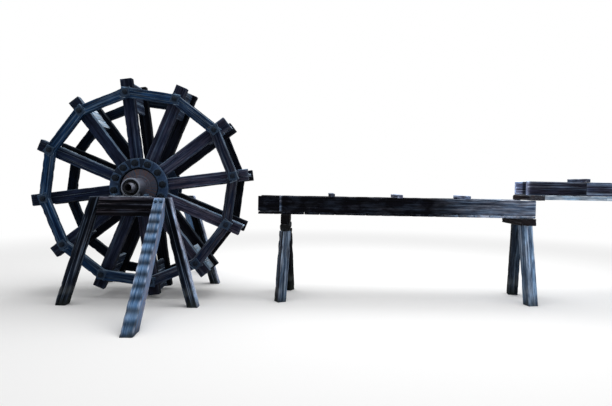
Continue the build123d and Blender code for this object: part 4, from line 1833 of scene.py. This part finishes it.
@dataclass
class LowerFlume(Assembly):
    """The trough that feeds the wheel: boards on edge, floor boards and ties."""

    start: float = 1.516
    length: float = 3.614
    width: float = 0.560
    top: float = 1.350
    side: float = 0.205
    board: float = 0.050
    floor: float = 0.030
    floor_boards: int = 18
    floor_gap: float = 0.003
    mouth: float = 0.280
    mouth_gap: float = 0.002
    tie_width: float = 0.065
    tie_high: float = 0.045
    overhang: float = 0.030
    first_tie: float = 0.966
    tie_pitch: float = 0.880
    tie_tones: Triple = (1.0, 2.6, 3.2)
    side_wear: Surface = Surface(check_width=0.0028, chips=0.007, dents=0.003)
    floor_wear: Surface = Surface(edge=0.004, checks=1, chips=0.005)
    tie_wear: Surface = Surface(edge=0.005, checks=1)

    @property
    def left(self) -> float:
        """Where the trough starts."""
        return AXLE[0] + self.start

    @property
    def low(self) -> float:
        """The underside of the side boards."""
        return self.top - self.side

    def damp(self, x: np.ndarray) -> np.ndarray:
        """How far the boards are darkened: fully over the first part, then less to the far end;
        partly wetness, partly painted shade.
        """
        return 1.0 - smooth(x - self.left, 0.62 * self.length, 0.82 * self.length)

    def torn(self, points: np.ndarray) -> np.ndarray:
        """Tears wedges out of the lower edge of the mouth board.

        The lower edge rises by the height of two slanted notches; above it the board is
        squeezed in proportion.

        Args:
            points: The straight board, across upward.

        Returns:
            The torn board.
        """
        along, up = points[:, 0], points[:, 1] + self.side / 2
        notch = 0.010 * smooth(along, 0.050, 0.020) + 0.014 * smooth(along, 0.10, 0.17)
        notch = notch * smooth(-along, -self.mouth, -self.mouth + 0.03)
        jag = notch * (0.75 + 0.5 * noise(along / 0.012, 0 * along, 71))
        raised = points.copy()
        raised[:, 1] = jag + up * (1 - jag / self.side) - self.side / 2
        return raised

    def ties(self, first: float, half: float, top: float, tones: tuple[float, ...],
             wear: Surface, seed: int) -> list[Skin]:
        """Bars across the top of a flume, a pitch apart.

        Args:
            first: Middle of the first bar.
            half: Half the width of the flume.
            top: Of its side boards.
            tones: How light each bar is.
            wear: How the bars are worn.
            seed: Seed of the first bar's irregularities.

        Returns:
            One skin for each bar.
        """
        reach, low = half + self.overhang, top + SEAT
        bars = []
        for number, tone in enumerate(tones):
            x = first + self.tie_pitch * number
            bar = squared((x - self.tie_width / 2, -reach, low),
                          (x + self.tie_width / 2, reach, low + self.tie_high), "yxz", wear,
                          seed + 10 * number)
            bars.append(bar.toned(tone=tone, warm=0.3))
        return bars

    def bed(self) -> list[Skin]:
        """The boards of the floor.

        Returns:
            One skin for each board.
        """
        boards = []
        pitch, gap, half = self.length / self.floor_boards, self.floor_gap / 2, self.width / 2
        top = self.low - SEAT
        for number in range(self.floor_boards):
            x = self.left + pitch * number
            chance = np.random.default_rng(6200 + number)
            skin = squared((x + gap, -half, top - self.floor), (x + pitch - gap, half, top),
                           "yxz", self.floor_wear, 6300 + 10 * number)
            # Wetness with painted shade, darkest near the mouth.
            wet = self.damp(skin.points[:, 0])
            boards.append(skin.toned(tone=chance.uniform(0.8, 1.2) * (2.2 - 1.2 * wet),
                                     warm=chance.uniform(0, 0.6), damp=wet))
        return boards

    def build(self) -> None:
        """Adds the trough."""
        left, half = self.left, self.width / 2
        splice, right = left + self.mouth, left + self.length
        sides = FlumeSide(half, self.board, self.low, self.top, self.side_wear)
        for side in Side:
            mouth, long = sides.boards(
                side, ((left, splice - self.mouth_gap), (splice, right)),
                6000 + 50 * side.value, self.torn if side is Side.FRONT else None)
            x = long.points[:, 0]
            along = (x - left) / self.length
            line = smooth(splice - x, -0.016, -0.004)
            # Painted shade with the wetness: darkest near the mouth, lighter toward the far end.
            long = long.toned(tone=1.0 + 0.9 * smooth(along, 0.80, 1.0) + 1.1 * line,
                              warm=0.4 * smooth(along, 0.66, 1.0), damp=self.damp(x) * (1 - line))
            self.piece(f"lower_flume_{side.word}_planks", [mouth.toned(tone=1.0, damp=1.0), long],
                       LOWER_WOOD, Slot.FLUME_TIMBER, f"lower_flume_{side.word}_boards")
        self.piece("lower_flume_floor_boards", self.bed(), LOWER_WOOD, Slot.FLUME_TIMBER,
                   "lower_flume_floor")
        ties = self.ties(left + self.first_tie, half, self.top, self.tie_tones, self.tie_wear, 6700)
        self.piece("lower_flume_tie_bars", ties, UPPER_WOOD, Slot.FLUME_TIMBER,
                   "lower_flume_ties")


@dataclass
class UpperFlume(Assembly):
    """The narrower trough that pours into the lower one, with the timber that bears it."""

    lower: LowerFlume
    overlap: float = 0.094
    bay: float = 3.142
    width: float = 0.440
    side: float = 0.181
    board: float = 0.060
    floor: float = 0.060
    splice: float = 0.774
    gap: float = 0.001
    floor_joint: float = 1.045
    floor_shifts: Triple = (0.0, 0.9, 0.45)
    bearer_width: float = 0.210
    bearer_high: float = 0.070
    tie_tones: Triple = (1.1, 1.1, 1.1)
    side_wear: Surface = Surface(edge=0.008, chips=0.007, dents=0.003)
    floor_wear: Surface = Surface(checks=1)
    bearer_wear: Surface = Surface(edge=0.008, chips=0.008)

    def bed(self, left: float, right: float, top: float) -> list[Skin]:
        """The floor: rows of two boards, with staggered joints.

        Args:
            left: Where the trough starts.
            right: Where it ends.
            top: Of the floor.

        Returns:
            One skin for each board.
        """
        start = left + self.bearer_width + SEAT
        pitch = self.width / len(self.floor_shifts)
        boards = []
        for row, shift in enumerate(self.floor_shifts):
            y = -self.width / 2 + pitch * row
            joint = left + self.floor_joint + shift
            spans = ((start, joint - self.gap), (joint + self.gap, right))
            for number, (a, b) in enumerate(spans):
                board = squared((a, y + self.gap / 2, top - self.floor),
                                (b, y + pitch - self.gap / 2, top), "xyz", self.floor_wear,
                                7200 + 20 * row + 7 * number)
                boards.append(board.toned(tone=1.0, warm=0.2 + 0.5 * number))
        return boards

    def build(self) -> None:
        """Adds the trough and its bearer."""
        lower = self.lower
        left = lower.left + lower.length - self.overlap
        right = left + self.overlap + self.bay
        bearer_low = lower.top + SEAT
        bed = bearer_low + self.bearer_high
        low = bed + SEAT
        top = low + self.side
        joint = left + self.splice
        sides = FlumeSide(self.width / 2, self.board, low, top, self.side_wear)
        for side in Side:
            short, long = sides.boards(
                side, ((left, joint - self.gap), (joint + self.gap, right)),
                7000 + 50 * side.value)
            # Painted light on the left end of the short board, wider and stronger on the back one;
            # the board darker toward the splice.
            end, lift = (0.03, 4.0) if side is Side.FRONT else (0.085, 7.0)
            pale = smooth(left - short.points[:, 0], -end - 0.015, -end + 0.015)
            dark = smooth(short.points[:, 0], joint - 0.40, joint - 0.10)
            boards = [short.toned(tone=1.05 + lift * pale - 0.5 * dark, warm=0.2, damp=0.1),
                      long.toned(tone=1.35, warm=0.5)]
            self.piece(f"upper_flume_{side.word}_planks", boards, UPPER_WOOD, Slot.PALE_TIMBER,
                       f"upper_flume_{side.word}_boards")
        self.piece("upper_flume_floor_boards", self.bed(left, right, bed), SILVER_WOOD,
                   Slot.PALE_TIMBER, "upper_flume_floor")
        ties = lower.ties(joint, self.width / 2, top, self.tie_tones, self.floor_wear, 7400)
        self.piece("upper_flume_tie_bars", ties, UPPER_WOOD, Slot.PALE_TIMBER,
                   "upper_flume_ties")
        wide = lower.width / 2
        bearer = squared((left, -wide, bearer_low), (left + self.bearer_width, wide, bed), "yxz",
                         self.bearer_wear, 7500)
        self.piece("upper_flume_bearer_timber", [bearer.toned(tone=1.0, warm=0.2)], CROSS_WOOD,
                   Slot.PALE_TIMBER, "upper_flume_bearer")


@dataclass
class Trestles(Assembly):
    """The three trestles under the flumes, a bay of the upper flume apart."""

    upper: UpperFlume
    first: float = 1.874
    deck: float = 1.1147
    upper_deck: float = 1.3603
    head: Pair = (0.118, 0.122)
    rail: Pair = (0.138, 0.096)
    cap: Pair = (0.200, 0.091)
    head_round: float = 0.008
    rail_round: float = 0.030
    cap_round: float = 0.009
    head_length: float = 0.680
    mouth_side: float = 0.120
    mouth_turn: float = 28.0
    mouth_top: float = 0.245
    mouth_foot: float = 0.400
    mouth_lean: float = 0.045
    cap_side: float = 0.135
    cap_turn: float = 12.0
    cap_top: float = 0.190
    cap_foot: float = 0.365
    cap_shift: float = 0.035
    cap_stagger: float = 0.020
    cap_sway: float = 0.030
    cross_wear: Surface = Surface(end=0.007, dents=0.003)
    post_wear: Surface = Surface(edge=0.009, checks=3, check_width=0.0036, check_depth=0.016,
                                 chips=0.008, dents=0.003)

    def post(self, top: Triple, foot: Triple, side: float, turn: float, seed: int) -> Skin:
        """One square post between its level top and its level foot.

        Args:
            top: Middle of its top.
            foot: Middle of its foot.
            side: Of its section.
            turn: About the vertical, in degrees.
            seed: Seed of its irregularities.

        Returns:
            The skin, its left face marked warm, which paints it greyer and darker as painted shade.
        """
        c, s = math.cos(math.radians(turn)), math.sin(math.radians(turn))
        halves = (-side / 2, side / 2)
        corners = np.array([[[(x + a * c - b * s, y + a * s + b * c, z) for b in halves]
                             for a in halves] for x, y, z in (foot, top)]) + UNDER_AXLE
        size = (math.dist(top, foot), side, side)
        skin = timber(*size, self.post_wear, seed)
        left = smooth(-skin.points[:, 1] / (side / 2), 0.88, 0.95)
        return between(skin, size, corners).toned(warm=left)

    def across(self, x: float, size: Pair, top: float, edge: float, seed: int) -> Skin:
        """A timber across the flume.

        Args:
            x: Of its middle from the axle.
            size: Its width and height.
            top: Level of its top.
            edge: Radius of its long edges.
            seed: Seed of its irregularities.

        Returns:
            The skin.
        """
        width, high = size
        half = self.head_length / 2
        return squared((AXLE[0] + x - width / 2, -half, top - high),
                       (AXLE[0] + x + width / 2, half, top), "yxz",
                       replace(self.cross_wear, edge=edge), seed)

    def mouth_trestle(self) -> None:
        """Adds the trestle under the mouth of the lower flume."""
        head_top = self.deck - SEAT
        rail_top = head_top - self.head[1] - SEAT
        post_top = rail_top - self.rail[1] - SEAT
        head = self.across(self.first, self.head, head_top, self.head_round, 8000)
        rail = self.across(self.first, self.rail, rail_top, self.rail_round, 8010)
        # Painted shade: the head near black.
        self.piece("mouth_trestle_head_timber", [head.toned(tone=0.10, damp=0.2)], CROSS_WOOD,
                   Slot.FLUME_TIMBER, "mouth_trestle_head")
        self.piece("mouth_trestle_round_rail", [rail.toned(tone=0.4, warm=1.0, damp=0.2)],
                   CROSS_WOOD, Slot.FLUME_TIMBER, "mouth_trestle_rail")
        posts = []
        # Painted shade: the back post far darker than the front.
        for side, tone in ((Side.FRONT, 0.92), (Side.BACK, 0.04)):
            sign = side.value
            skin = self.post((self.first, sign * self.mouth_top, post_top),
                             (self.first + sign * self.mouth_lean, sign * self.mouth_foot, 0),
                             self.mouth_side, -sign * self.mouth_turn, 8020 + 5 * sign)
            posts.append(skin.toned(tone=tone))
        self.piece("mouth_trestle_legs", posts, POST_WOOD, Slot.FLUME_TIMBER,
                   "mouth_trestle_posts")

    def cap_trestle(self, name: str, x: float, deck: float, seed: int) -> None:
        """Adds a trestle of a low cap on two posts.

        Args:
            name: The word for it in the names of pieces and nodes.
            x: Of its middle from the axle.
            deck: Level that its cap bears.
            seed: Seed of its irregularities.
        """
        cap = self.across(x, self.cap, deck - SEAT, self.cap_round, seed)
        # Painted shade: the cap darkened.
        self.piece(f"{name}_trestle_cap_timber", [cap.toned(tone=0.4, damp=0.25)], CROSS_WOOD,
                   Slot.PALE_TIMBER, f"{name}_trestle_cap")
        posts = []
        # Painted shade: the back post far darker than the front.
        for side, tone in ((Side.FRONT, 1.3), (Side.BACK, 0.16)):
            sign = side.value
            top_x = x + self.cap_shift + sign * self.cap_stagger
            skin = self.post((top_x, sign * self.cap_top, deck - self.cap[1] - 2 * SEAT),
                             (top_x + self.cap_sway, sign * self.cap_foot, 0), self.cap_side,
                             -sign * self.cap_turn, seed + 10 + 5 * sign)
            # Painted shade on the left face.
            warm = skin.values["warm"]
            posts.append(skin.toned(tone=tone * (1.0 - 0.55 * warm), warm=0.4 * warm))
        self.piece(f"{name}_trestle_legs", posts, PALE_POST_WOOD, Slot.PALE_TIMBER,
                   f"{name}_trestle_posts")

    def build(self) -> None:
        """Adds the three trestles."""
        bay = self.upper.bay
        self.mouth_trestle()
        self.cap_trestle("middle", self.first + bay, self.deck, 8100)
        self.cap_trestle("end", self.first + 2 * bay, self.upper_deck, 8200)


@dataclass
class Studio:
    """Floor, soft light and the camera of the photo."""

    place: Triple = (-1.32665, -7.253, 1.492)
    yaw: float = -0.022
    pitch: float = 1.855
    roll: float = 1.041
    lens: float = 36 * 537 / 612    # 36 mm of film for 612 pixels, seen from 537
    sky: float = 0.62
    lamp: float = 620.0
    lamp_size: float = 9.0
    lamp_place: Triple = (0.0, 1.2, 7.5)
    floor_size: float = 60.0
    floor_fade: Pair = (5.5, 12.0)

    def camera(self) -> None:
        """Adds the camera."""
        camera = shown("camera", bpy.data.cameras.new("camera"))
        camera.data.lens = self.lens
        turn = (Matrix.Rotation(math.radians(self.yaw), 3, "Z")
                @ Matrix.Rotation(math.radians(90 - self.pitch), 3, "X")
                @ Matrix.Rotation(math.radians(self.roll), 3, "Z"))
        camera.location = self.place
        camera.rotation_euler = turn.to_euler()
        bpy.context.scene.camera = camera
        bpy.context.scene.view_settings.view_transform = "Standard"

    def light(self) -> None:
        """Adds the sky, white to the camera, and one wide lamp overhead."""
        world = bpy.data.worlds.new("sky")
        bpy.context.scene.world = world
        world.use_nodes = True
        sheet = Sheet(world.node_tree)
        seen = sheet.add("ShaderNodeLightPath", {}).outputs["Is Camera Ray"]
        strength = sheet.add("ShaderNodeMapRange", {0: seen, 3: self.sky, 4: 1.0}).outputs[0]
        sheet.wire(world.node_tree.nodes["Background"],
                   {"Strength": strength, "Color": (1, 1, 1, 1)})
        lamp = shown("lamp", bpy.data.lights.new("lamp", "AREA"))
        lamp.data.size = self.lamp_size
        lamp.data.energy = self.lamp
        lamp.location = self.lamp_place

    def floor(self) -> None:
        """Adds the pale floor, which fades to white for the camera away from the object."""
        half = self.floor_size / 2
        mesh = bpy.data.meshes.new("floor")
        mesh.from_pydata([(-half, -half, 0), (half, -half, 0), (half, half, 0), (-half, half, 0)],
                         [], [(0, 1, 2, 3)])
        material, sheet, shader = surfaced("floor")
        sheet.wire(shader, {"Base Color": (0.86, 0.86, 0.86, 1), "Roughness": 0.9,
                            "Specular IOR Level": 0.0})
        away = sheet.length(sheet.add("ShaderNodeTexCoord", {}).outputs["Object"])
        seen = sheet.add("ShaderNodeLightPath", {}).outputs["Is Camera Ray"]
        share = sheet.times(sheet.rise(away, *self.floor_fade), seen)
        white = sheet.add("ShaderNodeEmission", {"Color": (1, 1, 1, 1)}).outputs[0]
        mixed = sheet.add("ShaderNodeMixShader", {0: share, 1: shader.outputs[0], 2: white})
        sheet.wire(material.node_tree.nodes["Material Output"], {"Surface": mixed.outputs[0]})
        mesh.materials.append(material)
        floor = shown("floor", mesh)

    def build(self) -> None:
        """Adds everything that isn't part of the object."""
        self.camera()
        self.light()
        self.floor()


def main() -> None:
    """Builds every piece over the frame, then the studio."""
    logging.basicConfig(level=logging.INFO, format="%(message)s")
    shop = Workshop()
    wheel = WaterWheel(shop)
    lower = LowerFlume(shop)
    upper = UpperFlume(shop, lower)
    for part in (wheel, Hub(shop, wheel), Stand(shop), lower, upper, Trestles(shop, upper),
                 Studio()):
        part.build()
        LOG.info("%s is in place", type(part).__name__)


if __name__ == "__main__":
    main()
